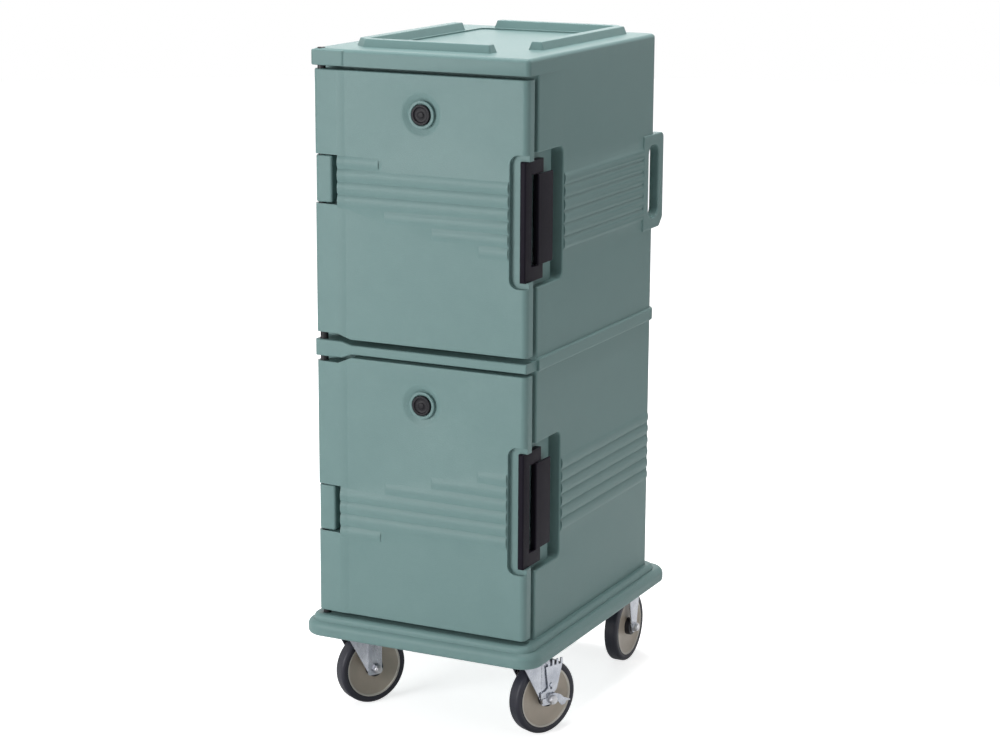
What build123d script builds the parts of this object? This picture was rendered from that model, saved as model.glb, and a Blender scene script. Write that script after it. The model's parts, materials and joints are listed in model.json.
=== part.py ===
"""Insulated food pan carrier: a tall two-compartment cabinet with two hinged doors on four casters.

Millimetres. X is the width with the hinges at -X, the doors face -Y and +Z is up.
The origin is on the floor under the centre of the base flange.
"""
from build123d import *
import math
import os

os.makedirs("parts", exist_ok=True)

# Overall sizes
overall_height = 1372.0
base_width = 520.6
base_depth = 687.0
base_bottom = 174.4
body_width = 461.6
body_front = -276.0
body_rear = 296.5
half_body = body_width / 2

# Base flange and plinth under the cabinet
flange_top = 206.0
flange_corner = 42.0
flange_top_round = 14.0
flange_bottom_round = 8.0
plinth_top = 218.5
plinth_front = -334.0
plinth_rear = 311.0
plinth_half_width = 245.5
plinth_corner = 28.0
plinth_round = 9.0

# Cabinet shell
skin = 6.0
floor_skin = 10.0
rear_corner = 22.0
front_corner = 4.0
cap_bottom = 1324.3
cap_top = 1356.5
cap_front = -322.4
cap_taper_end = -150.0
cap_side_lip = 2.2
cap_corner = 10.0
cap_round = 8.0
band_bottom = 760.5
band_top = 779.5
band_root = 20.0
band_round = 3.5
bead_bottom = 757.0
bead_top = 784.0
bead_proud = 5.5
bead_round = 4.5

# Pan compartments
inner_half_width = 163.5
inner_rear = 260.5
inner_height = 454.0
inner_corner = 14.0
lower_floor = 262.0
upper_floor = 826.0
rail_count = 6
rail_pitch = 68.0
first_rail = 70.0
rail_reach = 10.0
rail_nose = 7.0
rail_depth = 17.0
rail_rear_gap = 4.0
rail_front_gap = 14.0

# Stacking ridges and the shallow deck on the top
ridge_taper = 22.0
ridge_left = -182.0
ridge_right = 122.0
ridge_front = -262.0
ridge_back = 172.0
ridge_width = 33.0
ridge_corner_cut = 30.0
ridge_foot_round = 6.4
ridge_round = 2.5
ridge_centre_y = 8.0
deck_half_width = 143.0
deck_front = -220.0
deck_back = 236.0
deck_corner = 10.0
deck_sink = 3.0

# Moulded ribs on the doors and the sides
rib_count = 6
rib_pitch = 25.2
rib_proud = 3.4
rib_root = 1.5
upper_ribs_bottom = 975.7
lower_ribs_bottom = 409.0
rib_steps = [126.5, 26.0, -77.0]
rib_left = -178.0
rib_right = 191.0
side_rib_inset = 8.0
rib_handle_overlap = 2.0
pocket_rib_gap = 4.0

# Doors
door_front = -322.4
door_rear = -292.6
door_left = -230.8
door_right = 230.8
upper_door_bottom = 790.2
upper_door_top = 1317.4
lower_door_bottom = 226.0
lower_door_top = 754.2
door_strip_x = -178.0
door_strip_set_back = 3.4
door_left_round = 10.0
door_right_round = 12.0
door_rear_round = 3.2
door_edge_round = 2.6
door_plug_depth = 10.0
door_plug_gap = 7.0
door_foam_left = -168.0
door_foam_right = 185.0
door_skin = 5.0
gasket_inset = 1.5
gasket_outset = 10.5
gasket_front = door_rear
gasket_rear = body_front - 0.3

# Hinges
hinge_x = -217.0
hinge_y = -310.0
hinge_pin_radius = 8.0
cabinet_bore = 8.05
door_bore = 8.08
knuckle_left = -229.0
knuckle_right = -190.5
knuckle_front = -320.5
knuckle_height = 92.0
knuckle_inner_round = 5.0
knuckle_end_round = 3.0
knuckle_notch_right = -176.0
knuckle_clearance = 2.5
upper_knuckle_bottom = 1058.5
lower_knuckle_bottom = 396.0
ear_right = -172.0
ear_taper_end = -150.0
ear_bottom = 752.0
ear_top = 785.5
upper_door_foot = 800.6
lower_door_shoulder = 742.0
cap_ear_left = -233.8
cap_ear_right = -160.0
cap_ear_front = -324.9
cap_ear_round = 7.0
cap_ear_edge_round = 3.0
cap_ear_drop = 2.0
sill_ear_depth = 16.0

# Vents in the doors
vent_x = 5.7
upper_vent_z = 1240.8
lower_vent_z = 675.0
vent_dish_radius = 42.5
vent_dish_depth = 3.2
vent_dish_slope = 40.0
vent_collar_radius = 30.0
vent_collar_inner = 24.0
vent_collar_proud = 3.0
vent_collar_round = 1.2
vent_dish_round = 2.0
vent_seat_radius = 20.6
vent_seat_depth = 2.0
vent_cap_radius = 19.6
vent_cap_gap = 2.1
vent_cap_height = 6.0
vent_bore = 9.6
vent_stem_radius = 9.0
vent_ring_radius = 14.0
vent_ring_wire = 1.0
vent_nut_radius = 15.0
vent_nut_gap = 0.3
vent_nut_height = 4.0

# Latches on the right edge of each door
upper_latch_z = 1050.0
lower_latch_z = 487.0
notch_left = 193.0
notch_height = 254.0
notch_corner = 18.0
notch_depth = 9.0
latch_height = 230.0
latch_left = 214.5
latch_right = 226.5
latch_front = -322.6
latch_strip_rear = -294.0
latch_arm_rear = -244.0
latch_arm_height = 27.0
latch_edge_round = 2.0
latch_pin_x = 221.5
latch_pin_y = -262.0
latch_pin_radius = 3.0
latch_pin_bore = 3.08
latch_pin_inset = 8.0
lever_gap = 1.0
lever_outer = 230.3
lever_inner = 226.0
lever_front = -272.0
lever_rear = -207.0
lever_barrel_radius = 6.5
lever_lip_inner = 219.6
lever_lip_front = -215.5
lever_lip_rear = -210.0
lever_lip_height = 120.0
strike_base = 2.0
strike_top = 219.2
strike_front = -240.0
strike_rear = -208.0
strike_ridge_front = -231.0
strike_ridge_rear = -220.0
strike_height = 156.0
strike_ridge_height = 120.0
strike_screw_spread = 138.0
strike_screw_y = -225.0
strike_screw_radius = 2.0

# Pockets for the latches in the right side of the cabinet
pocket_rear = -164.0
pocket_shelf_x = 214.0
pocket_shelf_rear = -184.0
pocket_well_x = 188.0
pocket_height = 257.0
pocket_corner = 14.0
pocket_rim_round = 3.0

# Lifting handles at the rear corners
handle_front = 228.0
handle_rear = 332.0
handle_bottom = 952.0
handle_top = 1150.0
handle_outer = 234.0
handle_inner = 214.0
handle_corner = 12.0
handle_round = 3.0
handle_foot_cut = 18.0
slot_front = 254.0
slot_rear = 305.0
slot_bottom = 975.0
slot_top = 1128.0
slot_round = 20.0
grip_pocket_x = 183.0
grip_pocket_front = 242.0
grip_pocket_length = 120.0
grip_pocket_bottom = 961.0
grip_pocket_top = 1141.0

# Caster plates, bolts and swivels
plate_metal = 4.0
plate_bottom = base_bottom - plate_metal
plate_width = 102.0
plate_length = 118.0
plate_corner = 10.0
plate_holes_x = 76.0
plate_holes_y = 92.0
caster_bolt_radius = 4.0
caster_bolt_head = 7.0
caster_bolt_head_height = 5.0
caster_bolt_reach = 8.0
swivel_x = 197.0
swivel_y = -239.0
swivel_trail = 40.0
left_swivel_yaw = -29.4
right_swivel_yaw = -24.1
rear_wheel_x = 187.0
rear_wheel_y = 272.0
race_radius = 39.0
race_rim = 3.5
race_bottom = 168.9
race_rim_bottom = 163.6
crown_top = 162.8
crown_bottom = 157.0
crown_radius = 34.0
ball_radius = 2.9
ball_track = 25.0
ball_count = 14
kingpin_radius = 6.0
kingpin_bore = 6.4
kingpin_head_radius = 10.0
kingpin_head_bottom = 151.0
kingpin_head_top = 156.7

# Wheels
wheel_radius = 76.2
tyre_width = 30.0
tyre_round = 7.0
rim_radius = 62.7
rim_lip_inner = 60.2
rim_width = 28.0
rim_lip_foot = 58.8
rim_lip_height = 2.2
dish_middle_radius = 42.0
dish_middle_half = 8.2
dish_foot_half = 9.4
hub_bore_radius = 10.0
boss_radius = 18.5
boss_round = 2.0
hub_length = 41.6
bearing_bore = 6.42
axle_radius = 6.35

# Forks and rigid frames
fork_inner = 21.5
fork_metal = 3.2
fork_outer = fork_inner + fork_metal
fork_half_top = 28.0
fork_leg_front = 21.0
fork_leg_rear = 12.5
fork_leg_foot = 12.5
fork_leg_shoulder = 147.0
fork_shoulder_drop = 2.0
fork_leg_corner = 6.0
fork_web_foot = 4.0
fork_web_step = 1.4
frame_half_top = 40.0
frame_half_shoulder = 25.0
frame_shoulder_z = 140.0
frame_end_radius = 12.0
axle_head_radius = 10.5
axle_head_height = 6.0
nut_radius = 9.6
nut_height = 9.0

# Brake and swivel lock on the front right caster
brake_inner = 26.0
brake_metal = 4.0
brake_hub_radius = 11.0
brake_bore = 6.43
brake_pad_inner = 18.0
brake_nut_seat = 30.5
ring_inner = 40.0
ring_outer = 46.0
ring_bottom = 158.5
ring_notch_top = 165.0
ring_notch_width = 7.4
ring_notch_count = 20
lock_metal = 3.0
lock_top = 146.0
lock_tooth_top = 157.6
lock_tooth_y = 34.0
lock_tooth_width = 5.0
lock_tooth_pitch = 11.0
lock_tooth_count = 4
lock_bottom = 91.2
lock_foot_bottom = 81.4
lock_slot_y = 40.0
lock_rivet_z = 106.0
lock_slot_drop = 3.0
lock_slot_length = 13.0
lock_rivet_radius = 2.2
lock_rivet_head = 2.2


def save(part, label):
    """Labels a finished piece and writes it as a STEP file under that name."""
    part.label = label
    export_step(part, "parts/" + label + ".step")


def side_plane(x):
    """Upright plane across X, with local X to the rear and local Y up."""
    return Plane(origin=(x, 0, 0), x_dir=(0, 1, 0), z_dir=(1, 0, 0))


def front_plane(y):
    """Upright plane facing the front, with local X to the right and local Y up."""
    return Plane(origin=(0, y, 0), x_dir=(1, 0, 0), z_dir=(0, -1, 0))


# Base flange: a flat tray-shaped foot with a rounded rim that carries the casters
with BuildPart() as flange:
    with BuildSketch(Plane.XY.offset(base_bottom)):
        RectangleRounded(base_width, base_depth, flange_corner)
    extrude(amount=flange_top - base_bottom)
    fillet(flange.edges().group_by(Axis.Z)[-1], flange_top_round)
    fillet(flange.edges().group_by(Axis.Z)[0], flange_bottom_round)

# Plinth: the low step between the flange and the cabinet, and the sill of the lower door
with BuildPart() as plinth:
    with BuildSketch(Plane.XY.offset(flange_top - 1)):
        with Locations((0, (plinth_front + plinth_rear) / 2)):
            RectangleRounded(2 * plinth_half_width, plinth_rear - plinth_front, plinth_corner)
    extrude(amount=plinth_top - flange_top + 1)
    fillet(plinth.edges().group_by(Axis.Z)[-1], plinth_round)

# Cap: the thick top that reaches out over the upper door
with BuildPart() as cap:
    with BuildSketch(Plane.XY.offset(cap_bottom)) as cap_outline:
        with BuildLine():
            Polyline(
                (-half_body, body_rear),
                (-half_body, cap_taper_end),
                (-half_body - cap_side_lip, cap_front),
                (half_body + cap_side_lip, cap_front),
                (half_body, cap_taper_end),
                (half_body, body_rear),
                close=True,
            )
        make_face()
        fillet(cap_outline.vertices().group_by(Axis.Y)[-1], rear_corner)
        fillet(cap_outline.vertices().group_by(Axis.Y)[0], cap_corner)
    extrude(amount=cap_top - cap_bottom)
    fillet(cap.edges().group_by(Axis.Z)[-1], cap_round)

# Stacking ridge: an L with sloping sides at the front left, and its twin turned round at the rear right
with BuildPart() as front_ridge:
    with BuildSketch(Plane.XY.offset(cap_top)) as ridge_outline:
        with BuildLine():
            Polyline(
                (ridge_left, ridge_back),
                (ridge_left, ridge_front + ridge_corner_cut),
                (ridge_left + ridge_corner_cut, ridge_front),
                (ridge_right, ridge_front),
                (ridge_right, ridge_front + ridge_width),
                (ridge_left + ridge_width, ridge_front + ridge_width),
                (ridge_left + ridge_width, ridge_back),
                close=True,
            )
        make_face()
        fillet(ridge_outline.vertices(), ridge_foot_round)
    extrude(amount=overall_height - cap_top, taper=ridge_taper)
    fillet(front_ridge.edges().group_by(Axis.Z)[-1], ridge_round)
rear_ridge = front_ridge.part.moved(Location((0, 2 * ridge_centre_y, 0), (0, 0, 180)))


def side_ribs(bottom, start, end, sign):
    """Rounded horizontal ribs along one side, each a shallow arc standing on the wall."""
    wall = sign * half_body
    with BuildPart() as ribs:
        with BuildSketch(front_plane(start)):
            for row in range(rib_count):
                low = bottom + row * rib_pitch
                high = low + rib_pitch
                with BuildLine():
                    ThreePointArc((wall, low), (wall + sign * rib_proud, (low + high) / 2), (wall, high))
                    Polyline(
                        (wall, high),
                        (wall - sign * rib_root, high),
                        (wall - sign * rib_root, low),
                        (wall, low),
                    )
                make_face()
        extrude(amount=start - end)
    return ribs.part


def latch_pocket(centre):
    """Recess in the right side: a shallow shelf for the latch and a deep well for the fingers."""
    with BuildPart() as pocket:
        with BuildSketch(side_plane(pocket_shelf_x)) as shelf:
            with Locations(((body_front - 30 + pocket_rear) / 2, centre)):
                Rectangle(pocket_rear - body_front + 30, pocket_height)
            fillet(shelf.vertices().group_by(Axis.X)[-1], pocket_corner)
        extrude(amount=40)
        with BuildSketch(side_plane(pocket_well_x)) as well:
            with Locations(((pocket_shelf_rear + pocket_rear) / 2, centre)):
                Rectangle(pocket_rear - pocket_shelf_rear, pocket_height)
            fillet(well.vertices().group_by(Axis.X)[-1], pocket_corner)
        extrude(amount=pocket_shelf_x - pocket_well_x + 1)
    return pocket.part


def handle_plate(sign):
    """Loop handle that stands out past the rear face."""
    with BuildPart() as plate:
        with BuildSketch(side_plane(sign * handle_inner)) as outline:
            with BuildLine():
                Polyline(
                    (handle_front, handle_bottom),
                    (handle_rear - handle_foot_cut, handle_bottom),
                    (handle_rear, handle_bottom + handle_foot_cut),
                    (handle_rear, handle_top),
                    (handle_front, handle_top),
                    close=True,
                )
            make_face()
            fillet(outline.vertices().sort_by(Axis.X)[-3:], handle_corner)
            with Locations(((slot_front + slot_rear) / 2, (slot_bottom + slot_top) / 2)):
                RectangleRounded(slot_rear - slot_front, slot_top - slot_bottom, slot_round, mode=Mode.SUBTRACT)
        extrude(amount=sign * (handle_outer - handle_inner))
        broad_faces = plate.faces().sort_by(Axis.X)
        fillet(broad_faces[-1 if sign > 0 else 0].edges(), handle_round)
        fillet(broad_faces[0 if sign > 0 else -1].outer_wire().edges(), handle_round)
    return plate.part


def handle_cuts(sign):
    """Finger pocket behind the loop, open to the rear, and the slot through the loop."""
    with BuildPart() as cuts:
        with BuildSketch(side_plane(sign * grip_pocket_x)) as hollow:
            pocket_middle = (grip_pocket_bottom + grip_pocket_top) / 2
            with Locations((grip_pocket_front + grip_pocket_length / 2, pocket_middle)):
                Rectangle(grip_pocket_length, grip_pocket_top - grip_pocket_bottom)
            fillet(hollow.vertices().group_by(Axis.X)[0], pocket_corner)
        extrude(amount=sign * (handle_inner - grip_pocket_x))
        with BuildSketch(side_plane(sign * (handle_inner - 1))):
            with Locations(((slot_front + slot_rear) / 2, (slot_bottom + slot_top) / 2)):
                RectangleRounded(slot_rear - slot_front, slot_top - slot_bottom, slot_round)
        extrude(amount=sign * (handle_outer - handle_inner + 6))
    return cuts.part


def foam_gap_at_latch(centre):
    """Block that keeps the foam one skin away from a latch pocket."""
    with BuildPart() as block:
        with BuildSketch(side_plane(pocket_well_x - skin)):
            with Locations(((body_front + pocket_rear) / 2, centre)):
                Rectangle(pocket_rear - body_front + 2 * skin, pocket_height + 2 * skin)
        extrude(amount=80)
    return block.part


# Band between the doors, with the hinge ear at its left end
with BuildPart() as band:
    with BuildSketch(front_plane(body_front + band_root)):
        with BuildLine():
            Polyline(
                (-half_body, ear_bottom),
                (ear_right, ear_bottom),
                (ear_taper_end, band_bottom),
                (half_body, band_bottom),
                (half_body, band_top),
                (ear_taper_end, band_top),
                (ear_right, ear_top),
                (-half_body, ear_top),
                close=True,
            )
        make_face()
    extrude(amount=body_front + band_root - cap_front)
    fillet(band.faces().sort_by(Axis.Y)[0].edges(), band_round)

# Bead that carries the band on round the sides and the rear
with BuildPart() as bead:
    with BuildSketch(Plane.XY.offset(bead_bottom)) as bead_outline:
        with Locations((0, (body_front + body_rear + bead_proud) / 2)):
            Rectangle(body_width + 2 * bead_proud, body_rear + bead_proud - body_front)
        fillet(bead_outline.vertices().group_by(Axis.Y)[-1], rear_corner + bead_proud)
    extrude(amount=bead_top - bead_bottom)
    fillet(bead.edges().group_by(Axis.Z)[0], bead_round)
    fillet(bead.edges().group_by(Axis.Z)[-1], bead_round)

# Hinge ear of the cap
with BuildPart() as cap_ear:
    with BuildSketch(Plane.XY.offset(cap_bottom)) as cap_ear_outline:
        with Locations(((cap_ear_left + cap_ear_right) / 2, (cap_ear_front + body_front) / 2)):
            Rectangle(cap_ear_right - cap_ear_left, body_front - cap_ear_front)
        fillet(cap_ear_outline.vertices().group_by(Axis.Y)[0], cap_ear_round)
    extrude(amount=cap_top - cap_ear_drop - cap_bottom)
    fillet(cap_ear.edges().group_by(Axis.Z)[0], cap_ear_edge_round)
    fillet(cap_ear.edges().group_by(Axis.Z)[-1], cap_ear_edge_round)


def knuckle(bottom):
    """Hinge knuckle that reaches out of the front edge of the cabinet into the side of a door."""
    with BuildPart() as block:
        with BuildSketch(Plane.XY.offset(bottom)) as outline:
            with Locations(((knuckle_left + knuckle_right) / 2, (knuckle_front + body_front + 10) / 2)):
                Rectangle(knuckle_right - knuckle_left, body_front + 10 - knuckle_front)
            fillet(outline.vertices().group_by(Axis.Y)[0].sort_by(Axis.X)[0], door_left_round)
            fillet(outline.vertices().group_by(Axis.Y)[0].sort_by(Axis.X)[-1], knuckle_inner_round)
        extrude(amount=knuckle_height)
        fillet(block.edges().group_by(Axis.Z)[0], knuckle_end_round)
        fillet(block.edges().group_by(Axis.Z)[-1], knuckle_end_round)
    return block.part


# Foam core: poured between the outer and inner walls of the cabinet, sealed in for good
foam_seam = flange_top - floor_skin
with BuildPart() as cabinet_foam:
    with BuildSketch(Plane.XY.offset(base_bottom + floor_skin)):
        RectangleRounded(base_width - 18, base_depth - 18, flange_corner - 9)
    extrude(amount=foam_seam - base_bottom - floor_skin)
    with BuildSketch(Plane.XY.offset(foam_seam - 1)):
        with Locations((0, (body_front + body_rear) / 2)):
            RectangleRounded(body_width - 2 * skin, body_rear - body_front - 2 * skin, rear_corner - skin)
    extrude(amount=cap_top - 2 * skin - foam_seam + 1)
    with BuildSketch(front_plane(body_front)):
        for level in (lower_floor, upper_floor):
            with Locations((0, level + inner_height / 2)):
                RectangleRounded(
                    2 * (inner_half_width + skin),
                    inner_height + 2 * skin,
                    inner_corner + skin,
                )
    extrude(amount=body_front - inner_rear - skin, mode=Mode.SUBTRACT)
    add(foam_gap_at_latch(upper_latch_z), mode=Mode.SUBTRACT)
    add(foam_gap_at_latch(lower_latch_z), mode=Mode.SUBTRACT)
    with BuildSketch(Plane.XY.offset(grip_pocket_bottom - skin)):
        for sign in (-1, 1):
            block_x = sign * (grip_pocket_x - skin + handle_outer) / 2
            with Locations((block_x, grip_pocket_front + grip_pocket_length / 2)):
                Rectangle(handle_outer - grip_pocket_x + skin, grip_pocket_length + 2 * skin)
    extrude(amount=grip_pocket_top - grip_pocket_bottom + 2 * skin, mode=Mode.SUBTRACT)

# Cabinet shell: one double-walled moulding with the compartments, base, cap, hinge knuckles and handles
with BuildPart() as cabinet_shell:
    add(flange.part)
    add(plinth.part)
    with BuildSketch(Plane.XY.offset(flange_top - 1)) as body_outline:
        with Locations((0, (body_front + body_rear) / 2)):
            Rectangle(body_width, body_rear - body_front)
        fillet(body_outline.vertices().group_by(Axis.Y)[-1], rear_corner)
        fillet(body_outline.vertices().group_by(Axis.Y)[0], front_corner)
    extrude(amount=cap_bottom - flange_top + 2)
    add(cap.part)
    add(front_ridge.part)
    add(rear_ridge)

    # Band, bead, hinge ear and knuckles
    add(band.part)
    add(bead.part)
    add(cap_ear.part)
    add(knuckle(lower_knuckle_bottom))
    add(knuckle(upper_knuckle_bottom))

    # Ribs and handles on both sides
    for sign, rib_start in ((-1, body_front + side_rib_inset), (1, pocket_rear + pocket_rib_gap)):
        add(side_ribs(upper_ribs_bottom, rib_start, handle_front + rib_handle_overlap, sign))
        add(side_ribs(lower_ribs_bottom, rib_start, body_rear - rear_corner, sign))
    for sign in (-1, 1):
        add(handle_plate(sign))
        add(handle_cuts(sign), mode=Mode.SUBTRACT)

    # Compartments, open to the front, then the rails that carry the pans
    with BuildSketch(front_plane(body_front)):
        for level in (lower_floor, upper_floor):
            with Locations((0, level + inner_height / 2)):
                RectangleRounded(2 * inner_half_width, inner_height, inner_corner)
    extrude(amount=body_front - inner_rear, mode=Mode.SUBTRACT)
    with BuildSketch(front_plane(inner_rear - rail_rear_gap)):
        for level in (lower_floor, upper_floor):
            for row in range(rail_count):
                rail = level + first_rail + row * rail_pitch
                for sign in (-1, 1):
                    wall = sign * (inner_half_width + 1)
                    nose = sign * (inner_half_width - rail_reach)
                    with BuildLine():
                        Polyline(
                            (wall, rail),
                            (nose, rail),
                            (nose, rail - rail_nose),
                            (wall, rail - rail_depth),
                            close=True,
                        )
                    make_face()
    extrude(amount=inner_rear - rail_rear_gap - body_front - rail_front_gap)

    # Shallow deck between the stacking ridges
    with BuildSketch(Plane.XY.offset(cap_top)):
        with Locations((0, (deck_front + deck_back) / 2)):
            RectangleRounded(2 * deck_half_width, deck_back - deck_front, deck_corner)
    extrude(amount=-deck_sink, mode=Mode.SUBTRACT)

    # Latch pockets, and the bore for the hinge pins from the sill up through the cap
    add(latch_pocket(upper_latch_z), mode=Mode.SUBTRACT)
    add(latch_pocket(lower_latch_z), mode=Mode.SUBTRACT)
    side_edges = cabinet_shell.edges().filter_by_position(Axis.X, half_body - 0.1, half_body + 0.1)
    pocket_rims = side_edges.filter_by_position(Axis.Y, body_front + front_corner + 1, pocket_rear + 1)
    fillet(pocket_rims.filter_by_position(Axis.Z, lower_floor, cap_bottom - 1), pocket_rim_round)
    with BuildSketch(Plane.XY.offset(plinth_top - sill_ear_depth)):
        with Locations((hinge_x, hinge_y)):
            Circle(cabinet_bore)
    extrude(amount=cap_top - plinth_top + 2 * sill_ear_depth, mode=Mode.SUBTRACT)

    # Bolt holes for the four caster plates
    with BuildSketch(Plane.XY.offset(base_bottom)):
        for stand_x, stand_y in (
            (-swivel_x, swivel_y),
            (swivel_x, swivel_y),
            (-rear_wheel_x, rear_wheel_y),
            (rear_wheel_x, rear_wheel_y),
        ):
            with Locations((stand_x, stand_y)):
                with GridLocations(plate_holes_x, plate_holes_y, 2, 2):
                    Circle(caster_bolt_radius)
    extrude(amount=caster_bolt_reach, mode=Mode.SUBTRACT)
    add(cabinet_foam.part, mode=Mode.SUBTRACT)

save(cabinet_foam.part, "cabinet_foam")
save(cabinet_shell.part, "cabinet_shell")


def make_hinge_pin(name, bottom, top):
    """Long plain rod that joins the door, the frame knuckle and the ears on one axis."""
    with BuildPart() as pin:
        with BuildSketch(Plane.XY.offset(bottom)):
            with Locations((hinge_x, hinge_y)):
                Circle(hinge_pin_radius)
        extrude(amount=top - bottom)
        chamfer(pin.edges().group_by(Axis.Z)[-1], 1.2)
    save(pin.part, name)


band_middle = (ear_bottom + ear_top) / 2
make_hinge_pin("upper_hinge_pin", band_middle + 0.2, cap_top + 1.6)
make_hinge_pin("lower_hinge_pin", plinth_top - sill_ear_depth, band_middle - 0.2)


def make_strike(name, centre):
    """Strike on the shelf of a latch pocket: a thin plate with a rounded ridge for the lever lip."""
    with BuildPart() as strike:
        with BuildSketch(side_plane(pocket_shelf_x)):
            with Locations(((strike_front + strike_rear) / 2, centre)):
                RectangleRounded(strike_rear - strike_front, strike_height, 5)
        extrude(amount=strike_base)
        with BuildSketch(side_plane(pocket_shelf_x)):
            with Locations(((strike_ridge_front + strike_ridge_rear) / 2, centre)):
                Rectangle(strike_ridge_rear - strike_ridge_front, strike_ridge_height)
        extrude(amount=strike_top - pocket_shelf_x)
        fillet(strike.faces().sort_by(Axis.X)[-1].edges(), 2)
        with BuildSketch(side_plane(pocket_shelf_x)):
            with Locations((strike_screw_y, centre)):
                with GridLocations(1, strike_screw_spread, 1, 2):
                    Circle(strike_screw_radius)
        extrude(amount=strike_base, mode=Mode.SUBTRACT)
    save(strike.part, name)


make_strike("upper_latch_strike", upper_latch_z)
make_strike("lower_latch_strike", lower_latch_z)

# Screws that hold the strikes: a low round head on a short shank
with BuildPart() as strike_screws:
    for centre in (upper_latch_z, lower_latch_z):
        with BuildSketch(side_plane(pocket_shelf_x)):
            with Locations((strike_screw_y, centre)):
                with GridLocations(1, strike_screw_spread, 1, 2):
                    Circle(strike_screw_radius)
        extrude(amount=strike_base)
        with BuildSketch(side_plane(pocket_shelf_x + strike_base)):
            with Locations((strike_screw_y, centre)):
                with GridLocations(1, strike_screw_spread, 1, 2):
                    Circle(2 * strike_screw_radius)
        extrude(amount=1.6)
save(strike_screws.part, "strike_screws")


def rib_bar(low, start, end):
    """One rib on a door front from start to end along X, with its foot inside the door."""
    high = low + rib_pitch
    with BuildPart() as bar:
        with BuildSketch(side_plane(start)):
            with BuildLine():
                ThreePointArc(
                    (door_front, low),
                    (door_front - rib_proud, (low + high) / 2),
                    (door_front, high),
                )
                Polyline(
                    (door_front, high),
                    (door_front + rib_root, high),
                    (door_front + rib_root, low),
                    (door_front, low),
                )
            make_face()
        extrude(amount=end - start)
    return bar.part


def hinge_edge_cut(edge, inner_edge):
    """Tapered step that clears a hinge ear above or below the hinge end of a door."""
    outside = edge + (edge - inner_edge)
    with BuildPart() as step:
        with BuildSketch(front_plane(door_rear + 5)):
            with BuildLine():
                Polyline(
                    (door_left - 10, outside),
                    (ear_taper_end, outside),
                    (ear_taper_end, edge),
                    (ear_right - 7, inner_edge),
                    (door_left - 10, inner_edge),
                    close=True,
                )
            make_face()
        extrude(amount=door_rear - door_front + 20)
    return step.part


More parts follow.
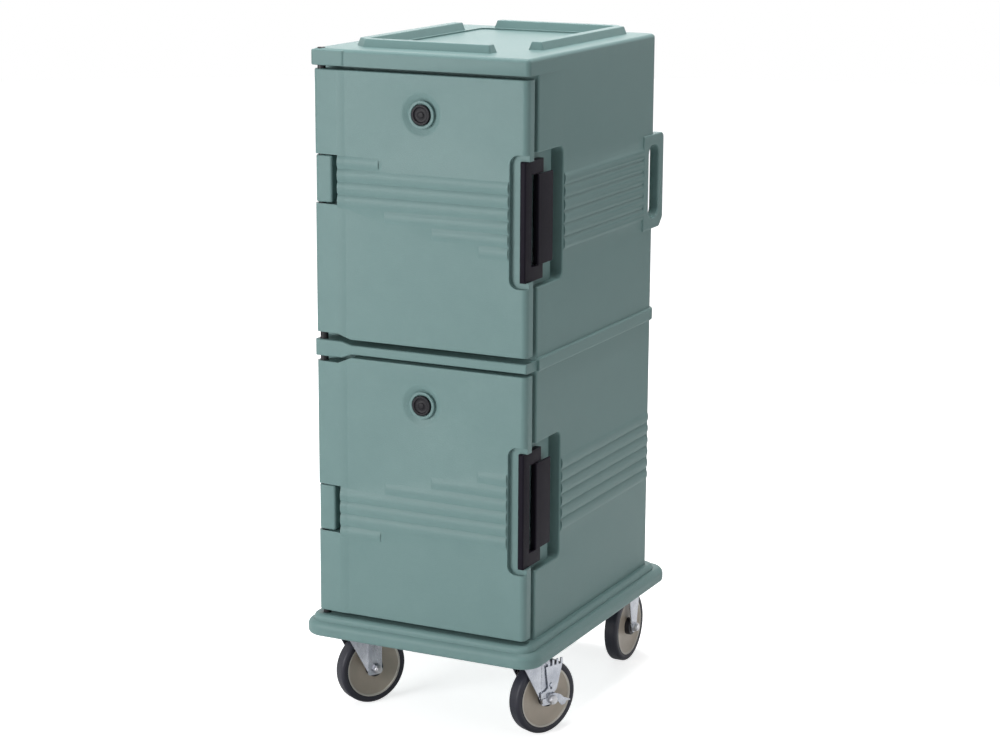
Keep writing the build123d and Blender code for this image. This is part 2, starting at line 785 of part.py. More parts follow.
def make_door(prefix, bottom, top, floor, latch_z, vent_z, knuckle_bottom, ribs_bottom, rib_starts):
    """One door: a double-walled shell, its foam core and its gasket."""
    height = top - bottom
    opening_middle = floor + inner_height / 2

    with BuildPart() as foam:
        with BuildSketch(front_plane(door_rear - door_skin)):
            with Locations(((door_foam_left + door_foam_right) / 2, bottom + height / 2)):
                Rectangle(door_foam_right - door_foam_left, height - 30)
            with Locations((vent_x, vent_z)):
                Circle(vent_dish_radius + 4, mode=Mode.SUBTRACT)
        extrude(amount=door_rear - door_front - 2 * door_skin)
    save(foam.part, prefix + "_door_foam")

    with BuildPart() as collar:
        with BuildSketch(front_plane(door_front + vent_dish_depth)):
            with Locations((vent_x, vent_z)):
                Circle(vent_collar_radius)
                Circle(vent_collar_inner, mode=Mode.SUBTRACT)
        extrude(amount=vent_collar_proud)
        fillet(collar.faces().sort_by(Axis.Y)[0].edges(), vent_collar_round)

    with BuildPart() as shell:
        with BuildSketch(Plane.XY.offset(bottom)) as outline:
            with BuildLine():
                Polyline(
                    (door_left, door_rear),
                    (door_left, door_front + door_strip_set_back),
                    (door_strip_x, door_front),
                    (door_right, door_front),
                    (door_right, door_rear),
                    close=True,
                )
            make_face()
            fillet(outline.vertices().sort_by_distance((door_left, door_front, 0))[0], door_left_round)
            fillet(outline.vertices().sort_by_distance((door_right, door_front, 0))[0], door_right_round)
            fillet(outline.vertices().group_by(Axis.Y)[-1], door_rear_round)
        extrude(amount=height)
        fillet(shell.edges().group_by(Axis.Z)[-1], door_edge_round)
        fillet(shell.edges().group_by(Axis.Z)[0], door_edge_round)

        # Raised panel on the inner side that stands in the mouth of the compartment
        with BuildSketch(front_plane(door_rear + door_plug_depth)):
            with Locations((0, opening_middle)):
                RectangleRounded(
                    2 * (inner_half_width - door_plug_gap),
                    inner_height - 2 * door_plug_gap,
                    inner_corner,
                )
        extrude(amount=door_plug_depth + 1)

        # Stepped ribs across the front
        for row, start in enumerate(rib_starts):
            add(rib_bar(ribs_bottom + row * rib_pitch, start, rib_right))
        if prefix == "upper":
            add(rib_bar(ribs_bottom + rib_count * rib_pitch, rib_left, rib_steps[2]))
            add(hinge_edge_cut(bottom, upper_door_foot), mode=Mode.SUBTRACT)
        else:
            add(rib_bar(ribs_bottom - rib_pitch, rib_left, rib_steps[2]))
            add(hinge_edge_cut(top, lower_door_shoulder), mode=Mode.SUBTRACT)

        # Notch for the frame knuckle, then the hinge bore
        with BuildSketch(front_plane(door_rear + 5)):
            with Locations(((door_left - 10 + knuckle_notch_right) / 2, knuckle_bottom + knuckle_height / 2)):
                Rectangle(
                    knuckle_notch_right - door_left + 10,
                    knuckle_height + 2 * knuckle_clearance,
                )
        extrude(amount=door_rear - door_front + 20, mode=Mode.SUBTRACT)
        with BuildSketch(Plane.XY.offset(bottom)):
            with Locations((hinge_x, hinge_y)):
                Circle(door_bore)
        extrude(amount=height, mode=Mode.SUBTRACT)

        # Hollow for the latch in the right edge: a sunk front face and a seat cut right through
        with BuildSketch(front_plane(door_front + notch_depth)) as hollow:
            with Locations(((notch_left + door_right + 20) / 2, latch_z)):
                Rectangle(door_right + 20 - notch_left, notch_height)
            fillet(hollow.vertices().group_by(Axis.X)[0], notch_corner)
        extrude(amount=notch_depth + 10, mode=Mode.SUBTRACT)
        with BuildSketch(front_plane(door_rear + 5)):
            with Locations(((latch_left + door_right + 20) / 2, latch_z)):
                Rectangle(door_right + 20 - latch_left, latch_height)
        extrude(amount=door_rear - door_front + 20, mode=Mode.SUBTRACT)

        # Vent: a dished ring, a raised collar, a flat seat and the way through the door
        with BuildSketch(front_plane(door_front)):
            with Locations((vent_x, vent_z)):
                Circle(vent_dish_radius)
        extrude(amount=-vent_dish_depth, taper=vent_dish_slope, mode=Mode.SUBTRACT)
        dish_rim = shell.edges().filter_by_position(Axis.Y, door_front - 0.1, door_front + 0.1)
        fillet(dish_rim.sort_by_distance((vent_x, door_front, vent_z))[0], vent_dish_round)
        add(collar.part)
        with BuildSketch(front_plane(door_front + vent_dish_depth + vent_seat_depth)):
            with Locations((vent_x, vent_z)):
                Circle(vent_seat_radius)
        extrude(amount=vent_seat_depth + 5, mode=Mode.SUBTRACT)
        with BuildSketch(front_plane(door_rear + door_plug_depth + 5)):
            with Locations((vent_x, vent_z)):
                Circle(vent_bore)
        extrude(amount=door_rear + door_plug_depth - door_front + 20, mode=Mode.SUBTRACT)
        add(foam.part, mode=Mode.SUBTRACT)
    save(shell.part, prefix + "_door_shell")

    with BuildPart() as gasket:
        with BuildSketch(front_plane(gasket_rear)):
            with Locations((0, opening_middle)):
                RectangleRounded(
                    2 * (inner_half_width + gasket_outset),
                    inner_height + 2 * gasket_outset,
                    inner_corner + gasket_outset,
                )
                RectangleRounded(
                    2 * (inner_half_width + gasket_inset),
                    inner_height + 2 * gasket_inset,
                    inner_corner + gasket_inset,
                    mode=Mode.SUBTRACT,
                )
        extrude(amount=gasket_rear - gasket_front)
    save(gasket.part, prefix + "_door_gasket")


def make_latch(prefix, latch_z):
    """Latch of one door: the fixed C-shaped frame, the pin and the lever that swings on it."""
    arm_middle = (latch_height - latch_arm_height) / 2
    lever_height = latch_height - 2 * latch_arm_height - 2 * lever_gap
    pin_bottom = latch_z - latch_height / 2 + latch_pin_inset
    pin_length = latch_height - 2 * latch_pin_inset

    with BuildPart() as frame:
        with BuildSketch(front_plane(latch_strip_rear)):
            with Locations(((latch_left + latch_right) / 2, latch_z)):
                Rectangle(latch_right - latch_left, latch_height)
        extrude(amount=latch_strip_rear - latch_front)
        with BuildSketch(front_plane(latch_arm_rear)):
            with Locations(((latch_left + latch_right) / 2, latch_z)):
                with GridLocations(1, 2 * arm_middle, 1, 2):
                    Rectangle(latch_right - latch_left, latch_arm_height)
        extrude(amount=latch_arm_rear - latch_strip_rear + 1)
        chamfer(frame.faces().sort_by(Axis.Y)[0].edges(), latch_edge_round)
        with BuildSketch(Plane.XY.offset(pin_bottom)):
            with Locations((latch_pin_x, latch_pin_y)):
                Circle(latch_pin_radius)
        extrude(amount=pin_length, mode=Mode.SUBTRACT)
    save(frame.part, prefix + "_latch_frame")

    with BuildPart() as pin:
        with BuildSketch(Plane.XY.offset(pin_bottom)):
            with Locations((latch_pin_x, latch_pin_y)):
                Circle(latch_pin_radius)
        extrude(amount=pin_length)
    save(pin.part, prefix + "_latch_pin")

    with BuildPart() as lever:
        with BuildSketch(Plane.XY.offset(latch_z - lever_height / 2)):
            with Locations((latch_pin_x, latch_pin_y)):
                Circle(lever_barrel_radius)
            with Locations(((lever_inner + lever_outer) / 2, (lever_front + lever_rear) / 2)):
                Rectangle(lever_outer - lever_inner, lever_rear - lever_front)
        extrude(amount=lever_height)
        chamfer(lever.faces().sort_by(Axis.X)[-1].edges(), 1.5)
        with BuildSketch(Plane.XY.offset(latch_z - lever_lip_height / 2)):
            with Locations(((lever_lip_inner + lever_inner + 1) / 2, (lever_lip_front + lever_lip_rear) / 2)):
                Rectangle(lever_inner + 1 - lever_lip_inner, lever_lip_rear - lever_lip_front)
        extrude(amount=lever_lip_height)
        with BuildSketch(Plane.XY.offset(latch_z - lever_height / 2)):
            with Locations((latch_pin_x, latch_pin_y)):
                Circle(latch_pin_bore)
        extrude(amount=lever_height, mode=Mode.SUBTRACT)
    save(lever.part, prefix + "_latch_lever")


def make_vent(prefix, vent_z):
    """Vent of one door: the cap with its stem, the sealing ring under it and the nut inside."""
    seat = door_front + vent_dish_depth + vent_seat_depth
    cap_rear = seat - vent_cap_gap
    nut_front = door_rear + door_plug_depth + vent_nut_gap

    with BuildPart() as vent_cap:
        with BuildSketch(front_plane(cap_rear)):
            with Locations((vent_x, vent_z)):
                Circle(vent_cap_radius)
        extrude(amount=vent_cap_height)
        fillet(vent_cap.edges().group_by(Axis.Y)[0], 2)
        with BuildSketch(front_plane(nut_front + vent_nut_height)):
            with Locations((vent_x, vent_z)):
                Circle(vent_stem_radius)
        extrude(amount=nut_front + vent_nut_height - cap_rear + 1)
    save(vent_cap.part, prefix + "_vent_cap")

    with BuildPart() as nut:
        with BuildSketch(front_plane(nut_front + vent_nut_height)):
            with Locations((vent_x, vent_z)):
                RegularPolygon(vent_nut_radius, 8)
                Circle(vent_stem_radius, mode=Mode.SUBTRACT)
        extrude(amount=vent_nut_height)
    save(nut.part, prefix + "_vent_nut")

    with BuildPart() as ring:
        with BuildSketch(side_plane(vent_x)):
            with Locations((seat - vent_cap_gap / 2, vent_z + vent_ring_radius)):
                Circle(vent_ring_wire)
        revolve(axis=Axis((vent_x, 0, vent_z), (0, 1, 0)))
    save(ring.part, prefix + "_vent_ring")


upper_starts = rib_steps + [rib_left] * 3
lower_starts = upper_starts[::-1]
make_door(
    "upper", upper_door_bottom, upper_door_top, upper_floor, upper_latch_z,
    upper_vent_z, upper_knuckle_bottom, upper_ribs_bottom, upper_starts,
)
make_door(
    "lower", lower_door_bottom, lower_door_top, lower_floor, lower_latch_z,
    lower_vent_z, lower_knuckle_bottom, lower_ribs_bottom, lower_starts,
)
make_latch("upper", upper_latch_z)
make_latch("lower", lower_latch_z)
make_vent("upper", upper_vent_z)
make_vent("lower", lower_vent_z)

# Caster bolts: hexagon bolts that hold the four plates to the underside of the flange
with BuildPart() as caster_bolts:
    for stand_x, stand_y in (
        (-swivel_x, swivel_y),
        (swivel_x, swivel_y),
        (-rear_wheel_x, rear_wheel_y),
        (rear_wheel_x, rear_wheel_y),
    ):
        with BuildSketch(Plane.XY.offset(plate_bottom)):
            with Locations((stand_x, stand_y)):
                with GridLocations(plate_holes_x, plate_holes_y, 2, 2):
                    Circle(caster_bolt_radius)
        extrude(amount=plate_metal + caster_bolt_reach)
        with BuildSketch(Plane.XY.offset(plate_bottom - caster_bolt_head_height)):
            with Locations((stand_x, stand_y)):
                with GridLocations(plate_holes_x, plate_holes_y, 2, 2):
                    RegularPolygon(caster_bolt_head, 6)
        extrude(amount=caster_bolt_head_height)
save(caster_bolts.part, "caster_bolts")


def make_swivel_plate(name, x, y):
    """Top plate of a swivel caster with the upper ball race and the hole for the kingpin."""
    with BuildPart() as plate:
        with BuildSketch(Plane.XY.offset(plate_bottom)):
            with Locations((x, y)):
                RectangleRounded(plate_width, plate_length, plate_corner)
                with GridLocations(plate_holes_x, plate_holes_y, 2, 2):
                    Circle(caster_bolt_radius, mode=Mode.SUBTRACT)
        extrude(amount=plate_metal)
        with BuildSketch(Plane.XY.offset(race_bottom)):
            with Locations((x, y)):
                Circle(race_radius)
        extrude(amount=plate_bottom - race_bottom)
        with BuildSketch(Plane.XY.offset(race_rim_bottom)):
            with Locations((x, y)):
                Circle(race_radius)
                Circle(race_radius - race_rim, mode=Mode.SUBTRACT)
        extrude(amount=race_bottom - race_rim_bottom)
        with BuildSketch(Plane.XY.offset(race_bottom)):
            with Locations((x, y)):
                Circle(kingpin_radius)
        extrude(amount=base_bottom - race_bottom, mode=Mode.SUBTRACT)
    save(plate.part, name)


def make_kingpin(name, x, y):
    """Kingpin of a swivel caster, riveted into the plate with its head under the fork crown."""
    with BuildPart() as kingpin:
        with BuildSketch(Plane.XY.offset(kingpin_head_bottom)):
            with Locations((x, y)):
                Circle(kingpin_head_radius)
        extrude(amount=kingpin_head_top - kingpin_head_bottom)
        with BuildSketch(Plane.XY.offset(kingpin_head_top)):
            with Locations((x, y)):
                Circle(kingpin_radius)
        extrude(amount=base_bottom - kingpin_head_top)
    save(kingpin.part, name)


def make_swivel(prefix, place, with_lock):
    """Fork and balls of a swivel caster, made straight with the trail to +Y and then placed."""
    with BuildPart() as fork:
        with BuildSketch(Plane.XY.offset(crown_bottom)):
            Circle(crown_radius)
        extrude(amount=crown_top - crown_bottom)
        with BuildSketch(side_plane(-fork_outer)) as leg_outline:
            with BuildLine():
                Polyline(
                    (-fork_half_top, crown_top),
                    (fork_half_top, crown_top),
                    (fork_half_top, crown_bottom - fork_shoulder_drop),
                    (swivel_trail + fork_leg_rear, fork_leg_shoulder),
                    (swivel_trail + fork_leg_rear, wheel_radius - fork_leg_foot),
                    (swivel_trail - fork_leg_front, wheel_radius - fork_leg_foot),
                    (swivel_trail - fork_leg_front, wheel_radius - fork_web_foot),
                    (-fork_half_top, crown_bottom),
                    close=True,
                )
            make_face()
            fillet(leg_outline.vertices().group_by(Axis.Y)[0], fork_leg_corner)
        extrude(amount=2 * fork_outer)
        with BuildSketch(Plane.XY.offset(crown_bottom)):
            Rectangle(2 * fork_inner, 4 * wheel_radius)
        extrude(amount=-2 * wheel_radius, mode=Mode.SUBTRACT)
        for face_x in (-fork_outer, fork_outer - fork_web_step):
            with BuildSketch(side_plane(face_x)):
                with BuildLine():
                    Polyline(
                        (-2 * fork_half_top, crown_bottom),
                        (swivel_trail - fork_leg_front, crown_bottom),
                        (swivel_trail - fork_leg_front, wheel_radius),
                        (-2 * fork_half_top, wheel_radius),
                        close=True,
                    )
                make_face()
            extrude(amount=fork_web_step, mode=Mode.SUBTRACT)
        with BuildSketch(Plane.XY.offset(crown_bottom)):
            Circle(kingpin_bore)
        extrude(amount=crown_top - crown_bottom, mode=Mode.SUBTRACT)
        with BuildSketch(side_plane(-fork_outer)):
            with Locations((swivel_trail, wheel_radius)):
                Circle(axle_radius)
        extrude(amount=2 * fork_outer, mode=Mode.SUBTRACT)
        if with_lock:
            with BuildSketch(side_plane(0)):
                with Locations((lock_slot_y, lock_rivet_z)):
                    Circle(lock_rivet_radius)
            extrude(amount=fork_outer, mode=Mode.SUBTRACT)
    save(fork.part.moved(place), prefix + "_fork")

    with BuildPart() as balls:
        with Locations((0, 0, (crown_top + race_bottom) / 2)):
            with PolarLocations(ball_track, ball_count):
                Sphere(ball_radius)
    save(balls.part.moved(place), prefix + "_race_balls")


def make_wheel(prefix, place):
    """One wheel, made with its axle along X through the axle centre: tyre, dished hub and flanged bearing."""
    with BuildPart() as tyre:
        with BuildSketch(Plane.YZ.offset(-tyre_width / 2)):
            Circle(wheel_radius)
            Circle(rim_radius, mode=Mode.SUBTRACT)
        extrude(amount=tyre_width)
        fillet(tyre.edges().filter_by(GeomType.CIRCLE).sort_by(SortBy.RADIUS)[-2:], tyre_round)
    save(tyre.part.moved(place), prefix + "_tyre")

    with BuildPart() as hub:
        with BuildSketch(Plane.XY):
            with BuildLine():
                half_rim = rim_width / 2
                lip_foot = half_rim - rim_lip_height
                Line((-dish_foot_half, hub_bore_radius), (-dish_foot_half, boss_radius))
                ThreePointArc(
                    (-dish_foot_half, boss_radius),
                    (-dish_middle_half, dish_middle_radius),
                    (-lip_foot, rim_lip_foot),
                )
                Polyline(
                    (-lip_foot, rim_lip_foot),
                    (-half_rim, rim_lip_inner),
                    (-half_rim, rim_radius),
                    (half_rim, rim_radius),
                    (half_rim, rim_lip_inner),
                    (lip_foot, rim_lip_foot),
                )
                ThreePointArc(
                    (lip_foot, rim_lip_foot),
                    (dish_middle_half, dish_middle_radius),
                    (dish_foot_half, boss_radius),
                )
                Polyline(
                    (dish_foot_half, boss_radius),
                    (dish_foot_half, hub_bore_radius),
                    (-dish_foot_half, hub_bore_radius),
                )
            make_face()
        revolve(axis=Axis.X)
    save(hub.part.moved(place), prefix + "_hub")

    with BuildPart() as bearing:
        with BuildSketch(Plane.YZ.offset(-hub_length / 2)):
            Circle(hub_bore_radius)
        extrude(amount=hub_length)
        for flange_start in (-hub_length / 2, dish_foot_half):
            with BuildSketch(Plane.YZ.offset(flange_start)):
                Circle(boss_radius)
            extrude(amount=hub_length / 2 - dish_foot_half)
        fillet(bearing.edges().group_by(Axis.X)[0], boss_round)
        fillet(bearing.edges().group_by(Axis.X)[-1], boss_round)
        with BuildSketch(Plane.YZ.offset(-hub_length / 2)):
            Circle(bearing_bore)
        extrude(amount=hub_length, mode=Mode.SUBTRACT)
    save(bearing.part.moved(place), prefix + "_bearing")


def axle_bolt(nut_seat):
    """Axle bolt along X with a round head on its left end, long enough for a nut at its seat."""
    with BuildPart() as bolt:
        with BuildSketch(Plane.YZ.offset(-fork_outer)):
            Circle(axle_radius)
        extrude(amount=fork_outer + nut_seat + nut_height + 1.5)
        with BuildSketch(Plane.YZ.offset(-fork_outer - axle_head_height)):
            Circle(axle_head_radius)
        extrude(amount=axle_head_height)
        chamfer(bolt.edges().group_by(Axis.X)[0], 1.5)
        chamfer(bolt.edges().group_by(Axis.X)[-1], 1)
    return bolt.part


def axle_nut(nut_seat):
    """Hexagon lock nut with a round collar on the right end of an axle bolt."""
    with BuildPart() as nut:
        with BuildSketch(Plane.YZ.offset(nut_seat)):
            RegularPolygon(nut_radius, 6)
            Circle(axle_radius, mode=Mode.SUBTRACT)
        extrude(amount=nut_height - 2)
        with BuildSketch(Plane.YZ.offset(nut_seat + nut_height - 2)):
            Circle(nut_radius - 1.6)
            Circle(axle_radius, mode=Mode.SUBTRACT)
        extrude(amount=2)
    return nut.part


# Front casters: swivel plates, kingpins, forks and balls, then the wheels on their axles
left_swivel_place = Location((-swivel_x, swivel_y, 0), (0, 0, left_swivel_yaw))
right_swivel_place = Location((swivel_x, swivel_y, 0), (0, 0, right_swivel_yaw))
make_swivel_plate("front_left_caster_plate", -swivel_x, swivel_y)
make_swivel_plate("front_right_caster_plate", swivel_x, swivel_y)
make_kingpin("front_left_kingpin", -swivel_x, swivel_y)
make_kingpin("front_right_kingpin", swivel_x, swivel_y)
make_swivel("front_left", left_swivel_place, False)
make_swivel("front_right", right_swivel_place, True)
for side, swivel_place, nut_seat in (
    ("left", left_swivel_place, fork_outer),
    ("right", right_swivel_place, brake_nut_seat),
):
    wheel_place = swivel_place * Location((0, swivel_trail, wheel_radius))
    make_wheel("front_" + side, wheel_place)
    save(axle_bolt(nut_seat).moved(wheel_place), "front_" + side + "_axle")
    save(axle_nut(nut_seat).moved(wheel_place), "front_" + side + "_axle_nut")


def make_rigid_frame(name, x):
    """Rigid caster frame: a top plate and two legs that narrow to the axle."""
    with BuildPart() as frame:
        with BuildSketch(Plane.XY.offset(plate_bottom)):
            with Locations((x, rear_wheel_y)):
                RectangleRounded(plate_width, plate_length, plate_corner)
                with GridLocations(plate_holes_x, plate_holes_y, 2, 2):
                    Circle(caster_bolt_radius, mode=Mode.SUBTRACT)
        extrude(amount=plate_metal)
        for leg_side in (-fork_outer, fork_inner):
            with BuildSketch(side_plane(x + leg_side)):
                with BuildLine():
                    Polyline(
                        (rear_wheel_y - frame_half_top, plate_bottom + 1),
                        (rear_wheel_y + frame_half_top, plate_bottom + 1),
                        (rear_wheel_y + frame_half_shoulder, frame_shoulder_z),
                        (rear_wheel_y + frame_end_radius, wheel_radius),
                        (rear_wheel_y - frame_end_radius, wheel_radius),
                        (rear_wheel_y - frame_half_shoulder, frame_shoulder_z),
                        close=True,
                    )
                make_face()
                with Locations((rear_wheel_y, wheel_radius)):
                    Circle(frame_end_radius)
                    Circle(axle_radius, mode=Mode.SUBTRACT)
            extrude(amount=fork_metal)
    save(frame.part, name)


# Rear casters
rear_nuts = []
for side, x in (("left", -rear_wheel_x), ("right", rear_wheel_x)):
    wheel_place = Location((x, rear_wheel_y, wheel_radius))
    make_rigid_frame("rear_" + side + "_caster_frame", x)
    make_wheel("rear_" + side, wheel_place)
    save(axle_bolt(fork_outer).moved(wheel_place), "rear_" + side + "_axle")
    rear_nuts.append(axle_nut(fork_outer).moved(wheel_place))
with BuildPart() as rear_axle_nuts:
    add(rear_nuts)
save(rear_axle_nuts.part, "rear_axle_nuts")

# Swivel lock ring: teeth round the front right ball race, one gap in line with the lock plate tooth
with BuildPart() as lock_ring:
    with BuildSketch(Plane.XY.offset(ring_bottom)):
        Circle(ring_outer)
        Circle(ring_inner, mode=Mode.SUBTRACT)
    extrude(amount=plate_bottom - ring_bottom)
    gap_angle = math.degrees(math.atan2(lock_tooth_y, brake_inner + lock_metal / 2))
    with BuildSketch(Plane.XY.offset(ring_bottom)):
        with PolarLocations((ring_inner + ring_outer) / 2, ring_notch_count, start_angle=gap_angle):
            Rectangle(ring_outer - ring_inner + 4, ring_notch_width)
    extrude(amount=ring_notch_top - ring_bottom, mode=Mode.SUBTRACT)
save(lock_ring.part.moved(right_swivel_place), "swivel_lock_ring")

# Brake lever: a hub on the axle, a short horn in front and a curved foot pedal behind the wheel centre
with BuildPart() as brake_lever:
    with BuildSketch(side_plane(brake_inner)):
        with BuildLine():
            Polyline(
                (swivel_trail - 23, wheel_radius - 6),
                (swivel_trail - 23, wheel_radius + 4.2),
                (swivel_trail - 9, wheel_radius + 4.2),
                (swivel_trail, wheel_radius + brake_hub_radius - 1),
                (swivel_trail + 9, wheel_radius + 11.5),
                (swivel_trail + 24, wheel_radius + 5),
                (swivel_trail + 33, wheel_radius - 3),
                (swivel_trail + 50, wheel_radius - 10.8),
                (swivel_trail + 50, wheel_radius - 13),
                (swivel_trail + 40, wheel_radius - 12),
                (swivel_trail + 36, wheel_radius - 18),
                (swivel_trail + 27, wheel_radius - 18.5),
                (swivel_trail + 18, wheel_radius - 9),
                (swivel_trail + 8, wheel_radius - 9.5),
                (swivel_trail - 8, wheel_radius - 7),
                close=True,
            )
        make_face()
    extrude(amount=brake_metal)
    with BuildSketch(side_plane(fork_outer + 0.3)):
        with Locations((swivel_trail, wheel_radius)):
            Circle(brake_hub_radius)
    extrude(amount=brake_inner + brake_metal - fork_outer - 0.3)
    with BuildSketch(side_plane(brake_pad_inner)):
        with BuildLine():
            Polyline(
                (swivel_trail + 33, wheel_radius - 3),
                (swivel_trail + 50, wheel_radius - 10.8),
                (swivel_trail + 50, wheel_radius - 13),
                (swivel_trail + 33, wheel_radius - 5.2),
                close=True,
            )
        make_face()
    extrude(amount=brake_inner + brake_metal - brake_pad_inner)
    with BuildSketch(side_plane(fork_outer)):
        with Locations((swivel_trail, wheel_radius)):
            Circle(brake_bore)
    extrude(amount=brake_inner + brake_metal - fork_outer, mode=Mode.SUBTRACT)
save(brake_lever.part.moved(right_swivel_place), "brake_lever")

# Lock plate: a flat plate beside the fork leg with a toothed top, lifted by the horn of the brake lever
with BuildPart() as lock_plate:
    with BuildSketch(side_plane(brake_inner)):
        with BuildLine():
            Polyline(
                (lock_tooth_y - 7.5, lock_top),
                (lock_tooth_y + 35, lock_top),
                (swivel_trail + 16, lock_bottom + 7),
                (swivel_trail + 12, lock_bottom),
                (swivel_trail - 11, lock_bottom),
                (swivel_trail - 14, lock_foot_bottom),
                (swivel_trail - 26, lock_foot_bottom),
                (swivel_trail - 26, lock_foot_bottom + 11),
                (swivel_trail - 14, lock_foot_bottom + 14),
                (swivel_trail - 7.5, lock_foot_bottom + 19),
                close=True,
            )
        make_face()
        for tooth in range(lock_tooth_count):
            with Locations((lock_tooth_y + tooth * lock_tooth_pitch, (lock_top - 1 + lock_tooth_top) / 2)):
                Rectangle(lock_tooth_width, lock_tooth_top - lock_top + 1)
        with Locations((lock_slot_y, lock_rivet_z - lock_slot_drop)):
            SlotOverall(lock_slot_length, 2 * lock_rivet_radius + 0.8, rotation=90, mode=Mode.SUBTRACT)
    extrude(amount=lock_metal)
save(lock_plate.part.moved(right_swivel_place), "lock_plate")

# Lock rivet: set in the fork leg, it guides the slot of the lock plate
rivet_head_seat = brake_inner + lock_metal + 0.4
with BuildPart() as lock_rivet:
    with BuildSketch(side_plane(fork_inner)):
        with Locations((lock_slot_y, lock_rivet_z)):
            Circle(lock_rivet_radius)
    extrude(amount=rivet_head_seat - fork_inner)
    with BuildSketch(side_plane(rivet_head_seat)):
        with Locations((lock_slot_y, lock_rivet_z)):
            Circle(2 * lock_rivet_radius)
    extrude(amount=lock_rivet_head)
    fillet(lock_rivet.edges().group_by(Axis.X)[-1], 1.2)
save(lock_rivet.part.moved(right_swivel_place), "lock_rivet")
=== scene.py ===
"""Insulated food pan carrier: a slate-green double-walled cabinet with two doors on four casters."""
import json
import math

import bmesh
import bpy
from mathutils import Matrix, Vector

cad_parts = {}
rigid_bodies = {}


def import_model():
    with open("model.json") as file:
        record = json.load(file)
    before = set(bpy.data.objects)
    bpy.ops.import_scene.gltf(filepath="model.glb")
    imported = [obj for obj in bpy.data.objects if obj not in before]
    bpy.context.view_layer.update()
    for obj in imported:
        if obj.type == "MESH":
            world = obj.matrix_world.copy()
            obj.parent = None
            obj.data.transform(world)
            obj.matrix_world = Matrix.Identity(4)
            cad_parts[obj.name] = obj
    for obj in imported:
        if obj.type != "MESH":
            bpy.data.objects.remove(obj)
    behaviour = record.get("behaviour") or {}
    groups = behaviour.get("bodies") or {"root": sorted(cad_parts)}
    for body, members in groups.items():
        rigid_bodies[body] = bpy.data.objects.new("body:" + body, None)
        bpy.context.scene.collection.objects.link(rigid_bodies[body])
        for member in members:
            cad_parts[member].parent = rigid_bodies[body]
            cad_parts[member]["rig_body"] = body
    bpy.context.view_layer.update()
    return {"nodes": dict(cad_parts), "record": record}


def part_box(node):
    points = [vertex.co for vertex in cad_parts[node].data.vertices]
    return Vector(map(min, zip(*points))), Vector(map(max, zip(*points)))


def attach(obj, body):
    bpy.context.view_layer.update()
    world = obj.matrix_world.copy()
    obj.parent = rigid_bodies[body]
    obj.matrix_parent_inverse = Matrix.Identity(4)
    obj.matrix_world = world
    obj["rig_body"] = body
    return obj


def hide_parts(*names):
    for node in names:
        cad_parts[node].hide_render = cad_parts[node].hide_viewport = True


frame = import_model()
nodes = frame["nodes"]

# Camera
# A long lens at chest height, in front of the right corner and tipped a little down.
# Its focal length is in pixels of a picture 1000 wide, so the lens follows from the sensor's width.
camera_place = Vector((2.18988, -4.43169, 1.80960))
camera_yaw = math.radians(26.116)
camera_pitch = math.radians(12.982)
camera_roll = math.radians(0.297)
focal_pixels = 2464.96
picture_width = 1000.0
ahead = Vector((
    -math.sin(camera_yaw) * math.cos(camera_pitch),
    math.cos(camera_yaw) * math.cos(camera_pitch),
    -math.sin(camera_pitch),
))
level = Vector((math.cos(camera_yaw), math.sin(camera_yaw), 0.0))
upward = level.cross(ahead)
right = level * math.cos(camera_roll) + upward * math.sin(camera_roll)
above = upward * math.cos(camera_roll) - level * math.sin(camera_roll)
lens = bpy.data.cameras.new("camera")
lens.sensor_fit = "HORIZONTAL"
lens.sensor_width = 36.0
lens.lens = focal_pixels * lens.sensor_width / picture_width
camera = bpy.data.objects.new("camera", lens)
camera.matrix_world = Matrix((
    (right.x, above.x, -ahead.x, camera_place.x),
    (right.y, above.y, -ahead.y, camera_place.y),
    (right.z, above.z, -ahead.z, camera_place.z),
    (0.0, 0.0, 0.0, 1.0),
))
bpy.context.scene.collection.objects.link(camera)
bpy.context.scene.camera = camera
bpy.context.scene.view_settings.view_transform = "Standard"

# Studio
# A pale sheet on the floor, a broad soft lamp at the front left, weaker ones overhead, behind and beside,
# and a pale room round them that the camera and every gloss see as white.
room_light = 0.11
white = (1.0, 1.0, 1.0, 1.0)
floor_radius = 12.0
floor_lift = 0.72
floor_gloss_share = 0.25
floor_near = 0.7
floor_far = 2.6


def put(tree, kind, inputs, settings=()):
    """One node of a tree: its inputs by name or number, linked where the value is a socket."""
    node = tree.nodes.new(kind)
    for name, value in dict(settings).items():
        setattr(node, name, value)
    for name, value in inputs.items():
        if isinstance(value, bpy.types.NodeSocket):
            tree.links.new(value, node.inputs[name])
        else:
            node.inputs[name].default_value = value
    return node


def seen_directly(tree, in_gloss):
    """One for what the camera or clear stuff looks at, a given share for a gloss, and nought for plain light."""
    ray = put(tree, "ShaderNodeLightPath", {})
    gloss = put(tree, "ShaderNodeMath", {0: ray.outputs["Is Glossy Ray"], 1: in_gloss}, {"operation": "MULTIPLY"})
    clear = put(tree, "ShaderNodeMath", {0: ray.outputs["Is Camera Ray"], 1: ray.outputs["Is Transmission Ray"]},
                {"operation": "MAXIMUM"})
    seen = put(tree, "ShaderNodeMath", {0: gloss.outputs[0], 1: clear.outputs[0]}, {"operation": "MAXIMUM"})
    return seen.outputs[0]


